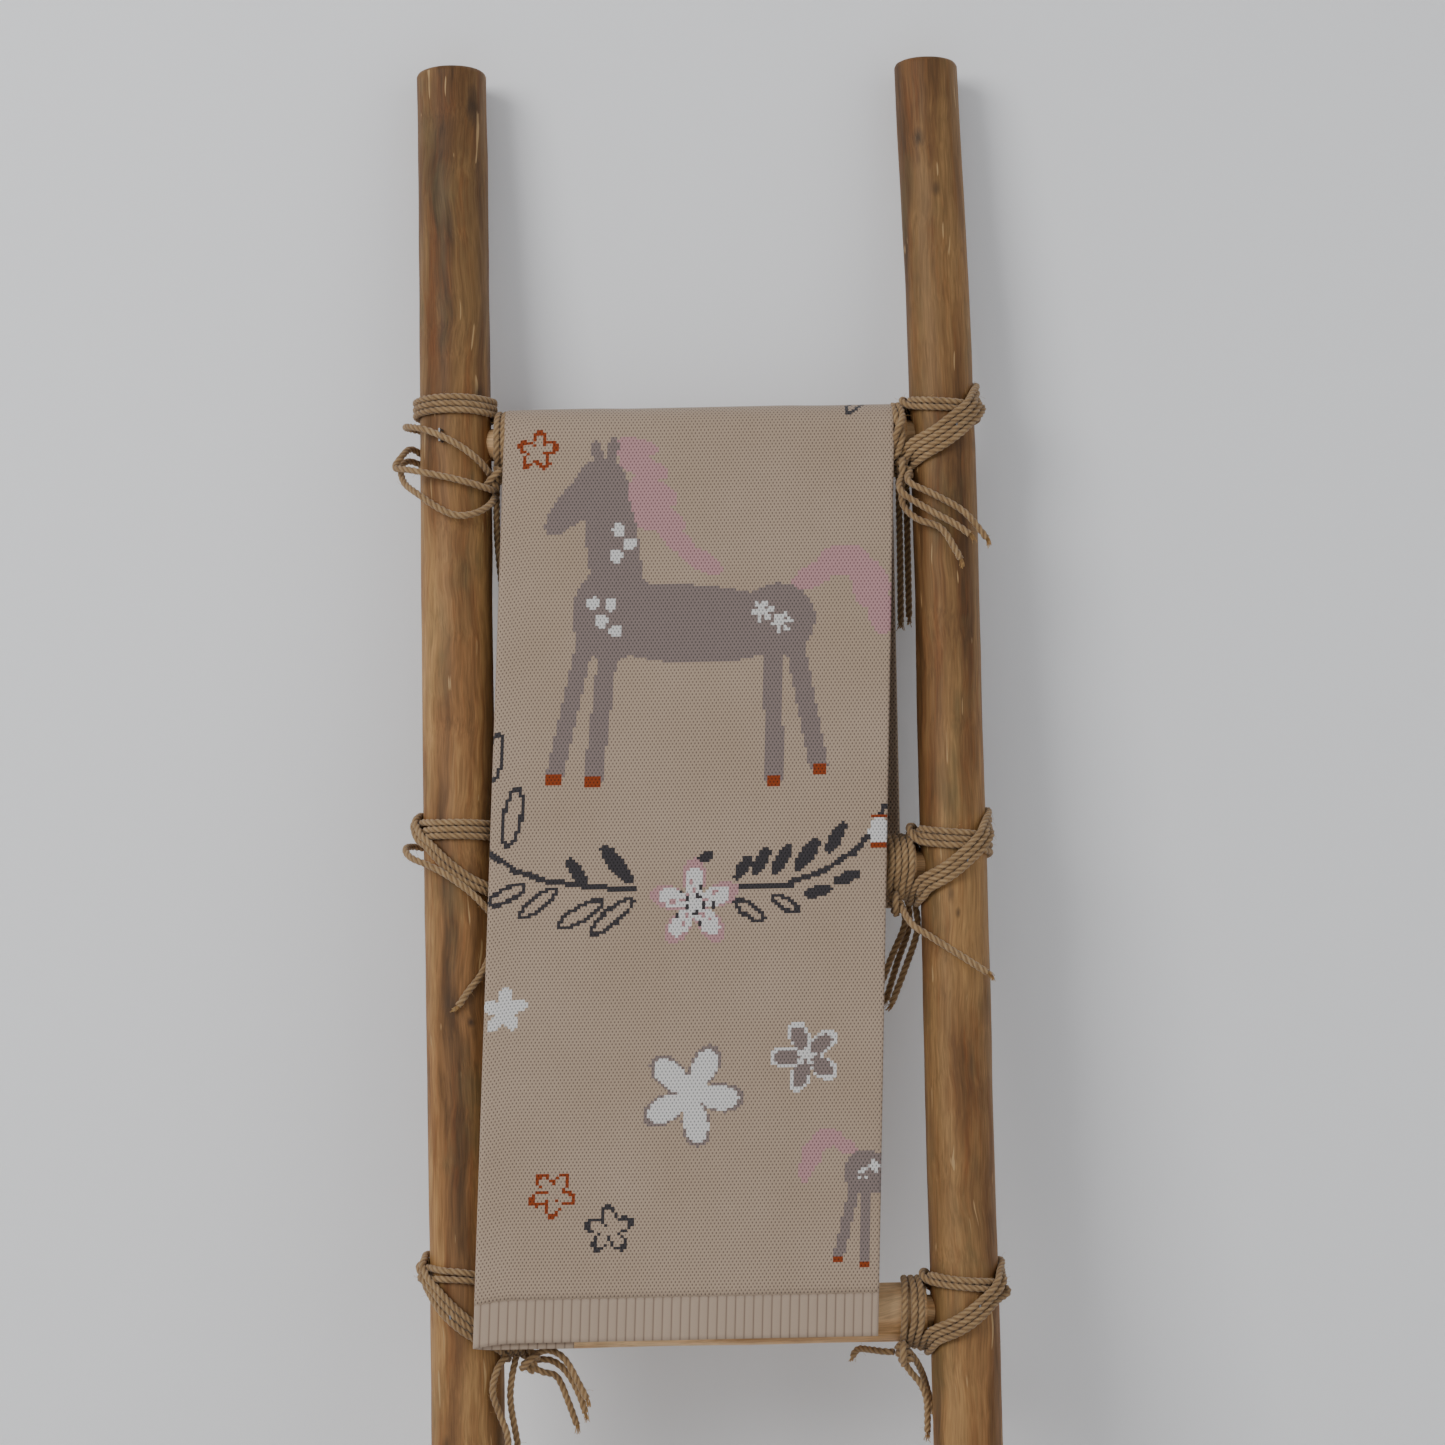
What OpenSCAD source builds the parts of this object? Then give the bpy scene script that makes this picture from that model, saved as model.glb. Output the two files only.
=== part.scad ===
// Leaning pole ladder with a knitted cot blanket folded over its top rung.
// The ladder is drawn upright in its own plane (X across, Y to the back, Z along
// the poles from the floor) and is then leaned back, so its heads go to +Y.

/* [Ladder] */
// Length of each pole along its axis
pole_len = 1500; // [1200:10:1900]
// Distance between the two pole axes
pole_gap = 330; // [290:5:420]
// Lean of the ladder from the vertical, in degrees
lean = 7.5; // [4:0.5:12]
// Radius of the left pole at its foot
left_foot_r = 25; // [20:0.5:32]
// Radius of the left pole at its head
left_head_r = 24.2; // [18:0.2:30]
// Radius of the right pole at its foot
right_foot_r = 23.8; // [20:0.2:32]
// Radius of the right pole at its head
right_head_r = 21.8; // [18:0.2:30]
// Rounding of the sawn edge at a pole's head
head_edge = 2.5; // [0.5:0.5:5]

/* [Rungs] */
// Distance from a pole's head to the top rung's axis
top_rung_down = 264; // [200:2:330]
// Distance from one rung's axis to the next
rung_pitch = 298; // [240:2:340]
// Radius of the top rung and the second rung
thin_rung_r = 18; // [15:0.5:22]
// Radius of the third rung and the bottom rung
thick_rung_r = 19.7; // [16:0.1:23]
// Space between a rung's shoulder and the pole
shoulder_gap = 3; // [2:0.5:6]
// Radius of the round tenon at each rung end
tenon_r = 11; // [8:0.5:13]
// How far a tenon goes into the pole
tenon_in = 26; // [15:1:32]
// Space round and behind a tenon in its mortise
tenon_play = 0.2; // [0.1:0.05:0.5]

/* [Tenon screws] */
// Radius of the screw's shank
screw_r = 2; // [1.5:0.25:3]
// Length of the screw under its head
screw_len = 34; // [28:1:38]
// Radius of the screw's flat head
screw_head_r = 4.2; // [3:0.2:6]
// Thickness of the screw's head
screw_head_t = 2.4; // [1.5:0.1:3]
// Depth of the screw's head below the back of the pole
screw_sink = 2; // [1:0.5:4]
// Space round the screw in its hole
screw_play = 0.1; // [0.05:0.05:0.3]

/* [Twine] */
// Diameter of the laid jute twine
twine_d = 4.9; // [3:0.1:7]
// Number of turns round the pole at each lashing
pole_turns = 3; // [2:1:5]
// Radius of the knot under each rung end
knot_r = 5; // [4:0.5:7]
// Width of a staple over the twine
staple_w = 9; // [6:0.5:12]
// Thickness of the staple wire
staple_wire = 1.2; // [0.8:0.1:2]
// How far a staple goes into the pole
staple_in = 7; // [4:1:12]

/* [Blanket] */
// Room for the poles and their lashings that the folded blanket leaves of the pole gap
side_room = 64; // [50:1:120]
// Thickness of the folded layers together
fold_t = 5.4; // [3:0.2:10]
// Length of the folded blanket, hem to hem
fold_len = 1000; // [700:10:1150]
// How far the front panel falls below the top rung's axis
front_fall = 611; // [450:1:700]
// Height of the ribbed hem
hem_h = 28; // [15:1:50]
// Place of the blanket's middle on the top rung
fold_x = 2.5; // [-4:0.5:4]
// How far the front panel's lower end is drawn to the left
front_skew = 27.5; // [0:0.5:40]
// How far the front panel's lower end stands off the top rung's tangent
front_stand_off = 14.6; // [8:0.2:30]
// Space between the blanket and the rung it lies on
rest_gap = 0.4; // [0.3:0.1:1]

/* [Hidden] */

$fn = 48;
left = -1;
right = 1;
twine_r = twine_d / 2;
eps = 0.05;

// The floor point midway between the feet is the origin, under the middle of the depth.
foot_y = -pole_len * sin(lean) / 2;

pole_colour = "#8A6A48";
rung_colour = "#A88A62";
twine_colour = "#A08259";
tail_colour = "#B08D5C";
knit_colour = "#B5A394";
hem_colour = "#AB9A8B";

// Sideways bow of each pole, as [distance down from its head, offset]
left_bow = [[0, 0], [250, -0.5], [500, -1], [800, 0], [1100, 1], [1500, 0]];
right_bow = [[0, 0], [150, 4], [320, 5.5], [500, 4], [800, 3.5], [1200, 1.5], [1500, 0]];
bow_reach = 50;

// Twine tails, as [dx, dy, dz] from the crossing of the rung's axis and the pole's axis
tails_1_left = [
    [[29, -10, -22], [28, -4, -40], [28, 2, -68], [30.5, 8, -102]]];
tails_1_right = [
    [[-24, -15, -26], [-25, -26, -37], [-8, -30, -47], [12, -31, -60], [29, -29, -81]],
    [[-29, -16, -29], [-31, -27, -43], [-13, -31, -57], [5, -33, -68], [18, -33, -78]],
    [[-29, -12, -30], [-29.5, -21, -51], [-20, -27.5, -63], [-5, -31, -70], [4, -32, -84],
        [10, -31, -96]],
    [[-30.5, 8, -24], [-30.5, 12, -38], [-30.5, 18, -78], [-31, 25, -130]],
    [[-25, 12, -22], [-25, 16, -38], [-25, 21, -78], [-25, 28, -126]]];
tails_2_left = [
    [[27, -12, -24], [24, -16, -45], [16, -22.3, -66], [6, -27, -80], [-3, -28, -93]]];
tails_2_right = [
    [[-37, -17, -28], [-30, -28, -41], [-19, -30, -49], [2, -31, -63], [23, -31, -77]],
    [[-37, 14, -20], [-33, 15, -36], [-43, 17, -60], [-52, 20, -82]],
    [[-31, 18, -16], [-30, 23, -38], [-39, 26, -64], [-48, 29, -92]],
    [[-26, 12, -22], [-25, 11, -42], [-34, 13, -68], [-45, 17, -95]]];
tails_3_left = [
    [[46, -15, -22], [56, -19, -20], [66, -21, -26], [75, -21, -42], [82, -20, -56]],
    [[45.5, -10, -26], [57, -11, -27], [67, -13, -35], [75, -13, -50], [80, -13, -66]],
    [[41, -14, -28.5], [50, -12, -34], [60, -7, -38], [67, -5, -54], [74, -4, -74]],
    [[27, -14, -23], [21, -20, -32], [18, -23, -46], [22, -21, -60], [27, -19, -74],
        [28, -17, -90]],
    [[33, -8, -24], [30, -9, -38], [29, -9, -54], [33, -8, -80], [36, -5, -104],
        [37, -2, -124]]];
tails_3_right = [
    [[-39.5, -12, -25], [-34, -6, -32], [-29, 6, -42], [-25, 18, -55], [-20, 26, -72]],
    [[-44, -12, -29.6], [-38, -8, -39], [-31, -3, -48], [-27, 2, -60], [-27, 6, -84]],
    [[-48.5, -11, -26], [-56, -8, -25.5], [-64, 0, -24.5], [-72, 10, -24.5], [-77, 17, -32]]];
tails_4_left = [
    [[27, -12, -25], [24, -20, -40], [21, -25, -60], [20, -26, -86]],
    [[33, -8, -26], [34, -9, -45], [36, -7, -76]]];
tails_4_right = [
    [[-28, -12, -25], [-24, -21, -42], [-16, -26, -60], [-12, -27, -84]],
    [[-34, -8, -26], [-36, -8, -46], [-37, -5, -80]]];

function rung_u(i) = pole_len - top_rung_down - (i - 1) * rung_pitch;
function rung_r(i) = i <= 2 ? thin_rung_r : thick_rung_r;
function foot_r(side) = side == left ? left_foot_r : right_foot_r;
function head_r(side) = side == left ? left_head_r : right_head_r;
function bow(side) = side == left ? left_bow : right_bow;

// A pole's axis and radius at the height u along it
function bow_at(side, u) = let (down = pole_len - u)
    (lookup(down - bow_reach, bow(side)) + lookup(down, bow(side)) + lookup(down + bow_reach, bow(side))) / 3;
function pole_x(side, u) = side * pole_gap / 2 + bow_at(side, u);
function pole_r(side, u) = foot_r(side) + (head_r(side) - foot_r(side)) * u / pole_len;
function inner_x(side, u) = pole_x(side, u) - side * pole_r(side, u);

// Puts what is drawn in the ladder's own plane in its leaning place
module leaned() {
    translate([0, foot_y, 0]) rotate([-lean, 0, 0]) children();
}

// Closed tube along points, each ring square to the run of the points beside it.
// A ring's first corner follows from the ring before, so the wall does not twist.
function run_at(points, i) =
    let (before = points[max(i - 1, 0)], after = points[min(i + 1, len(points) - 1)])
    (after - before) / norm(after - before);
function first_side(run) = abs(run[0]) < 0.8 ? [1, 0, 0] : [0, 1, 0];
function sides_from(points, i, side) =
    i == len(points) ? [] :
    let (run = run_at(points, i), flat = side - (side * run) * run, next = flat / norm(flat))
    concat([next], sides_from(points, i + 1, next));

module tube(points, r, sides) {
    firsts = sides_from(points, 0, first_side(run_at(points, 0)));
    rings = [for (i = [0 : len(points) - 1])
        let (a = firsts[i], b = cross(run_at(points, i), a))
        for (k = [0 : sides - 1])
            points[i] + r * (cos(360 * k / sides) * a + sin(360 * k / sides) * b)];
    last = (len(points) - 1) * sides;
    walls = [for (i = [0 : len(points) - 2]) for (k = [0 : sides - 1])
        let (n = (k + 1) % sides)
        [i * sides + k, (i + 1) * sides + k, (i + 1) * sides + n, i * sides + n]];
    near = [for (k = [0 : sides - 1]) k];
    far = [for (k = [sides - 1 : -1 : 0]) last + k];
    polyhedron(points = rings, faces = concat(walls, [near], [far]), convexity = 6);
}

// ---- Poles ----
pole_sides = 20;
pole_step = 60;

module pole_blank(side) {
    steps = floor(pole_len / pole_step);
    heights = concat([for (i = [1 : steps - 1]) i * pole_step],
        [pole_len - head_edge, pole_len]);
    // The first ring lies in the floor's plane, so the foot is flat on the floor
    foot = [for (k = [0 : pole_sides - 1])
        let (a = 360 * k / pole_sides, y = pole_r(side, 0) * sin(a))
        [pole_x(side, 0) + pole_r(side, 0) * cos(a), y, y * tan(lean)]];
    stem = [for (u = heights) for (k = [0 : pole_sides - 1])
        let (a = 360 * k / pole_sides, r = pole_r(side, u) - (u == pole_len ? head_edge : 0))
        [pole_x(side, u) + r * cos(a), r * sin(a), u]];
    rows = len(heights);
    walls = [for (i = [0 : rows - 1]) for (k = [0 : pole_sides - 1])
        let (n = (k + 1) % pole_sides)
        [i * pole_sides + k, (i + 1) * pole_sides + k,
            (i + 1) * pole_sides + n, i * pole_sides + n]];
    bottom = [for (k = [0 : pole_sides - 1]) k];
    top = [for (k = [pole_sides - 1 : -1 : 0]) rows * pole_sides + k];
    polyhedron(points = concat(foot, stem), faces = concat(walls, [bottom], [top]), convexity = 4);
}

module mortise(side, i) {
    u = rung_u(i);
    deep = tenon_in + tenon_play;
    mouth = pole_r(side, u);
    translate([inner_x(side, u) + side * deep, 0, u])
        rotate([0, -side * 90, 0])
            cylinder(r = tenon_r + tenon_play, h = deep + mouth);
}

module screw_hole(side, i) {
    u = rung_u(i);
    translate([screw_x(side, i), 0, u]) rotate([-90, 0, 0]) {
        translate([0, 0, -screw_tip(side, i) - 1])
            cylinder(r = screw_r + screw_play, h = screw_tip(side, i) + 2 * pole_r(side, u));
        translate([0, 0, head_y(side, i)])
            cylinder(r = screw_head_r + screw_play, h = pole_r(side, u));
    }
}

module pole(side) {
    color(pole_colour) leaned() difference() {
        pole_blank(side);
        for (i = [1 : 4]) {
            mortise(side, i);
            screw_hole(side, i);
        }
    }
}

// ---- Rungs: a turned barrel with a round tenon at each end ----
shoulder_len = 6;
shoulder_drop = 2;

module rung(i) {
    u = rung_u(i);
    from = inner_x(left, u);
    to = inner_x(right, u);
    r = rung_r(i);
    s = shoulder_gap;
    profile = [[from - tenon_in, 0], [from - tenon_in, tenon_r], [from + s, tenon_r],
        [from + s, r - shoulder_drop], [from + s + shoulder_len, r],
        [to - s - shoulder_len, r], [to - s, r - shoulder_drop], [to - s, tenon_r],
        [to + tenon_in, tenon_r], [to + tenon_in, 0]];
    color(rung_colour) leaned() difference() {
        translate([0, 0, u]) rotate([0, 90, 0])
            rotate_extrude() polygon([for (p = profile) [p[1], p[0]]]);
        for (side = [left, right]) screw_hole(side, i);
    }
}

// ---- Screws from the back of each pole through the tenon ----
function screw_x(side, i) = inner_x(side, rung_u(i)) + side * tenon_in / 2;
function head_y(side, i) = pole_r(side, rung_u(i)) * 0.86 - screw_sink - screw_head_t;
function screw_tip(side, i) = screw_len - head_y(side, i);

module screw(side, i) {
    translate([screw_x(side, i), 0, rung_u(i)]) rotate([-90, 0, 0])
        translate([0, 0, head_y(side, i)]) rotate_extrude()
            polygon([[0, screw_head_t], [screw_head_r, screw_head_t], [screw_head_r, 0],
                [screw_r, 0], [screw_r, -screw_len + screw_r], [0, -screw_len]]);
}

module tenon_screws() {
    color("#B9BDC2") leaned()
        for (i = [1 : 4]) for (side = [left, right]) screw(side, i);
}

// ---- Lashings ----
// Turns lying side by side, as one ring with a scalloped section
module turns(count, core_r) {
    rotate_extrude() union() {
        for (k = [0 : count - 1])
            translate([core_r + twine_r + 0.3, (k + 0.5) * twine_d]) circle(d = twine_d + eps);
        translate([core_r + 0.3 + twine_r / 2, twine_r])
            square([twine_r, (count - 1) * twine_d + eps]);
    }
}

// Turns round the rung end, which stop short of the blanket's edge at the top rung
function rung_turns(side, i) = i == 1 ? 1 : 3;

// Outer, front and inner points of a strand that crosses the pole's front
strand_from = 8;
strand_to = 122;
strand_steps = 7;
function strand(side, i, k) =
    let (u = rung_u(i), r = pole_r(side, u) + twine_r + 0.4)
    [for (t = [0 : 1 / strand_steps : 1 + eps])
        let (a = strand_from + t * (strand_to - strand_from),
            z = rung_r(i) + twine_r + 1 - k * (twine_d + 1.2) - t * (rung_r(i) + 16))
        [pole_x(side, u) + side * r * cos(a), -r * sin(a), u + z]];

// Place of the knot, from the crossing of the two axes
function knot_at(side, i) =
    let (u = rung_u(i), below = rung_r(i) + twine_d + knot_r + 0.6,
        in = i == 3 ? 42.5 : i == 2 && side == right ? 40 : i == 2 ? 31 : 28)
    [pole_x(side, u) - side * in, -below * sin(26), u - below * cos(26)];

module lashing(side, i) {
    u = rung_u(i);
    color(twine_colour) leaned() {
        translate([pole_x(side, u), 0, u + rung_r(i) + twine_d + 0.8])
            turns(pole_turns, pole_r(side, u));
        translate([inner_x(side, u) - side * (shoulder_gap + 0.5), 0, u])
            rotate([0, -side * 90, 0]) turns(rung_turns(side, i), rung_r(i));
        for (k = [0 : 1]) tube(strand(side, i, k), twine_r, 8);
        translate(knot_at(side, i)) sphere(r = knot_r);
    }
}

module tail(side, i, points) {
    u = rung_u(i);
    start = [pole_x(side, u), 0, u];
    color(tail_colour) leaned() tube([for (p = points) start + p], twine_r, 8);
}

// ---- Staples over the upper crossing strand ----
module staple(side, i) {
    u = rung_u(i);
    path = strand(side, i, 0);
    at = path[4];
    r = pole_r(side, u);
    high = r + twine_d + 0.5;
    out = high + staple_wire;
    in = r - staple_in;
    edge = staple_w / 2;
    inner = edge - staple_wire;
    a = strand_from + 4 / strand_steps * (strand_to - strand_from);
    turn = side == left ? 180 - a : a;
    translate([pole_x(side, u), 0, at[2]]) rotate([90, 0, -turn])
        translate([0, 0, -staple_wire / 2]) linear_extrude(staple_wire)
            polygon([[in, -edge], [out, -edge], [out, edge], [in, edge], [in, inner],
                [high, inner], [high, -inner], [in, -inner]]);
}

module twine_staples() {
    color("#D9DADB") leaned()
        for (i = [1 : 4]) for (side = [left, right]) staple(side, i);
}

// ---- Blanket: layers folded together, drawn as one closed slab ----
top_u = rung_u(1);
in_r = thin_rung_r + rest_gap;
out_r = in_r + fold_t;
fold_w = pole_gap - side_room;
fold_left = fold_x - fold_w / 2;
// Angle by which the front panel stands off the ladder's plane
flare = atan(front_stand_off / front_fall);
arc_turn = 180 - flare - lean;
back_fall = fold_len - front_fall / cos(flare) - PI * (in_r + fold_t / 2) * arc_turn / 180;

// Puts what is drawn round the top rung's axis in place, with Z upright
module on_top_rung() {
    translate([0, foot_y + top_u * sin(lean), top_u * cos(lean)]) children();
}

front_end = front_fall / cos(flare);
skew_slope = front_skew / front_fall;
arc_steps = 20;

// A station of the slab's length: the foot of its normal, the angle of the normal
// from the back, and how far the slab is drawn to the left there
function back_station(down) = [0, -down, 0, 0];
function arc_station(a) = [0, 0, a, 0];
function front_station(down) =
    [-down * sin(lean + flare), -down * cos(lean + flare), arc_turn, skew_slope * down];

// Left under, left outer, right outer and right under corner of the slab at a station
function corners(at) =
    let (ny = cos(at[2]), nz = sin(at[2]), out = in_r + fold_t, x = fold_left - at[3])
    [[x, at[0] + in_r * ny, at[1] + in_r * nz],
        [x, at[0] + out * ny, at[1] + out * nz],
        [x + fold_w, at[0] + out * ny, at[1] + out * nz],
        [x + fold_w, at[0] + in_r * ny, at[1] + in_r * nz]];

// Closed slab through stations, from the back round to the front
module slab(stations) {
    points = [for (at = stations) for (p = corners(at)) p];
    last = 4 * (len(stations) - 1);
    walls = [for (i = [0 : len(stations) - 2]) for (k = [0 : 3])
        let (n = (k + 1) % 4)
        [4 * i + k, 4 * (i + 1) + k, 4 * (i + 1) + n, 4 * i + n]];
    polyhedron(points = points, faces = concat(walls, [[0, 1, 2, 3]],
        [[last + 3, last + 2, last + 1, last]]), convexity = 4);
}

module blanket() {
    arc = [for (k = [0 : arc_steps]) arc_station(arc_turn * k / arc_steps)];
    color(knit_colour) on_top_rung()
        slab(concat([back_station(back_fall - hem_h)], arc, [front_station(front_end - hem_h)]));
}

module front_hem() {
    color(hem_colour) on_top_rung()
        slab([front_station(front_end - hem_h), front_station(front_end)]);
}

module back_hem() {
    color(hem_colour) on_top_rung()
        slab([back_station(back_fall), back_station(back_fall - hem_h)]);
}

pole(left);  // left_pole
pole(right);  // right_pole
rung(1);  // top_rung
rung(2);  // second_rung
rung(3);  // third_rung
rung(4);  // bottom_rung
lashing(left, 1);  // lashing_1_left
lashing(right, 1);  // lashing_1_right
lashing(left, 2);  // lashing_2_left
lashing(right, 2);  // lashing_2_right
lashing(left, 3);  // lashing_3_left
lashing(right, 3);  // lashing_3_right
lashing(left, 4);  // lashing_4_left
lashing(right, 4);  // lashing_4_right
tenon_screws();
twine_staples();
tail(left, 1, tails_1_left[0]);  // tail_1_left_a
tail(right, 1, tails_1_right[0]);  // tail_1_right_a
tail(right, 1, tails_1_right[1]);  // tail_1_right_b
tail(right, 1, tails_1_right[2]);  // tail_1_right_c
tail(right, 1, tails_1_right[3]);  // tail_1_right_d
tail(right, 1, tails_1_right[4]);  // tail_1_right_e
tail(left, 2, tails_2_left[0]);  // tail_2_left_a
tail(right, 2, tails_2_right[0]);  // tail_2_right_a
tail(right, 2, tails_2_right[1]);  // tail_2_right_b
tail(right, 2, tails_2_right[2]);  // tail_2_right_c
tail(right, 2, tails_2_right[3]);  // tail_2_right_d
tail(left, 3, tails_3_left[0]);  // tail_3_left_a
tail(left, 3, tails_3_left[1]);  // tail_3_left_b
tail(left, 3, tails_3_left[2]);  // tail_3_left_c
tail(left, 3, tails_3_left[3]);  // tail_3_left_d
tail(left, 3, tails_3_left[4]);  // tail_3_left_e
tail(right, 3, tails_3_right[0]);  // tail_3_right_a
tail(right, 3, tails_3_right[1]);  // tail_3_right_b
tail(right, 3, tails_3_right[2]);  // tail_3_right_c
tail(left, 4, tails_4_left[0]);  // tail_4_left_a
tail(left, 4, tails_4_left[1]);  // tail_4_left_b
tail(right, 4, tails_4_right[0]);  // tail_4_right_a
tail(right, 4, tails_4_right[1]);  // tail_4_right_b
blanket();
front_hem();
back_hem();
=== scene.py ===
"""A folded knitted cot blanket over the top rung of a lashed pole ladder.

The ladder's own plane is used for most sizes: x across, n square to the plane
(minus is the front) and u along the poles from the floor, all in millimetres.
"""

import logging
import math
from dataclasses import dataclass, field
from enum import Enum

import bmesh
import bpy
import numpy as np
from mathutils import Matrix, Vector, noise

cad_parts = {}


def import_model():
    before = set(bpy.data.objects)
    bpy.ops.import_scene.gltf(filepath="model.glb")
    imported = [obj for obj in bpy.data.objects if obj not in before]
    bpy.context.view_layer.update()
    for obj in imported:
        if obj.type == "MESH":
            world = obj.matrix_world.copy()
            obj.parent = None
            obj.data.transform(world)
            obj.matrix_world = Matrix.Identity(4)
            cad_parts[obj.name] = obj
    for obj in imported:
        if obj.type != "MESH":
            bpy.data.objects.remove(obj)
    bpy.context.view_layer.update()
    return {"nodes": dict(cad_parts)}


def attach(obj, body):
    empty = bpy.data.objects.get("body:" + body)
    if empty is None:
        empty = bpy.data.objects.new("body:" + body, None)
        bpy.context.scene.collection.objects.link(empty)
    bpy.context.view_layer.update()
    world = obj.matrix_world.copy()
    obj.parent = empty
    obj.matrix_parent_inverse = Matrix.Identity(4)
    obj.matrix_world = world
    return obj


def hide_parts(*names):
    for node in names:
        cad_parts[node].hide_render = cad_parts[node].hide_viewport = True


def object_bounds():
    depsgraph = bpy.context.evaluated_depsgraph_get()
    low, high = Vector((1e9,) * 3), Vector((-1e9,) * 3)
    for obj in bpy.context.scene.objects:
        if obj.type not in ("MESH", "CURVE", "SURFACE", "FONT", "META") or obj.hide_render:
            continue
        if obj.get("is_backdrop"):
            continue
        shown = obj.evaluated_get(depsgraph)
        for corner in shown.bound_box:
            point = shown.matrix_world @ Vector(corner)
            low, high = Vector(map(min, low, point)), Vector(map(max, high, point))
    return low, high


LOG = logging.getLogger("ladder_and_blanket")
MM = 0.001
LEFT, RIGHT = -1, 1
LADDER_BODY = "ladder"
BLANKET_BODY = "blanket"
Colour = tuple[float, float, float, float]
Socket = bpy.types.NodeSocket
Node = bpy.types.Node
Tree = bpy.types.NodeTree
Material = bpy.types.Material
Piece = bpy.types.Object
FAMILIES = ("ShaderNode", "GeometryNode", "FunctionNode", "Node")


# ---- Small tools ----


def linear(hex_colour: str) -> Colour:
    """Turns an sRGB hex colour into the linear colour a shader takes.

    Args:
        hex_colour: Six hex digits, with or without a leading hash.

    Returns:
        Linear red, green and blue with alpha 1.
    """
    digits = hex_colour.lstrip("#")
    parts = [int(digits[i : i + 2], 16) / 255 for i in (0, 2, 4)]
    r, g, b = (c / 12.92 if c <= 0.04045 else ((c + 0.055) / 1.055) ** 2.4 for c in parts)
    return r, g, b, 1.0


def set_inputs(node: Node, inputs: dict) -> None:
    """Sets a node's inputs.

    Args:
        node: The node.
        inputs: Input name or number against a value, or an output socket to link.
    """
    for key, value in inputs.items():
        if isinstance(value, Socket):
            node.id_data.links.new(value, node.inputs[key])
        else:
            node.inputs[key].default_value = value


def add(
    tree: Tree, kind: str, *values, at: dict | None = None, out: int | str | None = 0, **named
) -> Socket | Node:
    """Adds a node and sets it up.

    Args:
        tree: The node tree that gets the node.
        kind: The node's type name without its family, then a dot and its operation if it has one.
        values: Values or output sockets for its first inputs.
        at: The same for other inputs, by number.
        out: The output to return; None returns the node itself.
        named: Inputs, capitalised and with _ for a space, or the node's own properties.

    Returns:
        The wanted output, or the node.
    """
    kind, _, operation = kind.partition(".")
    node = tree.nodes.new(
        next(family + kind for family in FAMILIES if hasattr(bpy.types, family + kind))
    )
    if operation:
        node.operation = operation
    for key in [key for key in named if key[0].islower()]:
        setattr(node, key, named.pop(key))
    named = {key.replace("_", " "): value for key, value in named.items()}
    set_inputs(node, {**dict(enumerate(values)), **(at or {}), **named})
    return node if out is None else node.outputs[out]


def set_stops(ramp: Node, stops: list[tuple[float, str]]) -> Socket:
    """Sets a colour ramp's stops.

    Args:
        ramp: A colour ramp node.
        stops: Place from 0 to 1 and hex colour of each stop.

    Returns:
        The ramp's colour output.
    """
    elements = ramp.color_ramp.elements
    while len(elements) < len(stops):
        elements.new(0.5)
    for element, (place, shade) in zip(elements, stops):
        element.position = place
        element.color = linear(shade)
    return ramp.outputs["Color"]


def catmull(points: np.ndarray, spacing: float) -> np.ndarray:
    """Runs a smooth curve through points and samples it evenly.

    Args:
        points: Control points, one a row.
        spacing: Distance between samples, in the points' own unit.

    Returns:
        Evenly spaced points from the first to the last control point.
    """
    p = np.asarray(points, float)
    p = np.vstack([2 * p[0] - p[1], p, 2 * p[-1] - p[-2]])
    t = np.linspace(0, 1, 24, endpoint=False)[:, None]
    dense = []
    for a, b, c, d in zip(p[:-3], p[1:-2], p[2:-1], p[3:]):
        square = 2 * a - 5 * b + 4 * c - d
        cube = 3 * b - a - 3 * c + d
        dense.append(0.5 * (2 * b + (c - a) * t + square * t**2 + cube * t**3))
    dense.append(p[-2][None])
    return resample(np.vstack(dense), spacing)


def resample(line: np.ndarray, spacing: float) -> np.ndarray:
    """Samples a polyline evenly.

    Args:
        line: Points, one a row.
        spacing: Distance wanted between samples.

    Returns:
        Points along the line, its two ends included.
    """
    run = np.concatenate([[0], np.cumsum(np.linalg.norm(np.diff(line, axis=0), axis=1))])
    count = max(2, int(round(run[-1] / spacing)) + 1)
    at = np.linspace(0, run[-1], count)
    return np.column_stack([np.interp(at, run, line[:, k]) for k in range(line.shape[1])])


def smooth_step(x: np.ndarray | float) -> np.ndarray:
    """Returns 0 below 0, 1 above 1 and a smooth rise between."""
    t = np.clip(x, 0, 1)
    return t * t * (3 - 2 * t)


def link(obj: Piece) -> Piece:
    """Puts an object in the scene and returns it."""
    bpy.context.scene.collection.objects.link(obj)
    return obj


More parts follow.
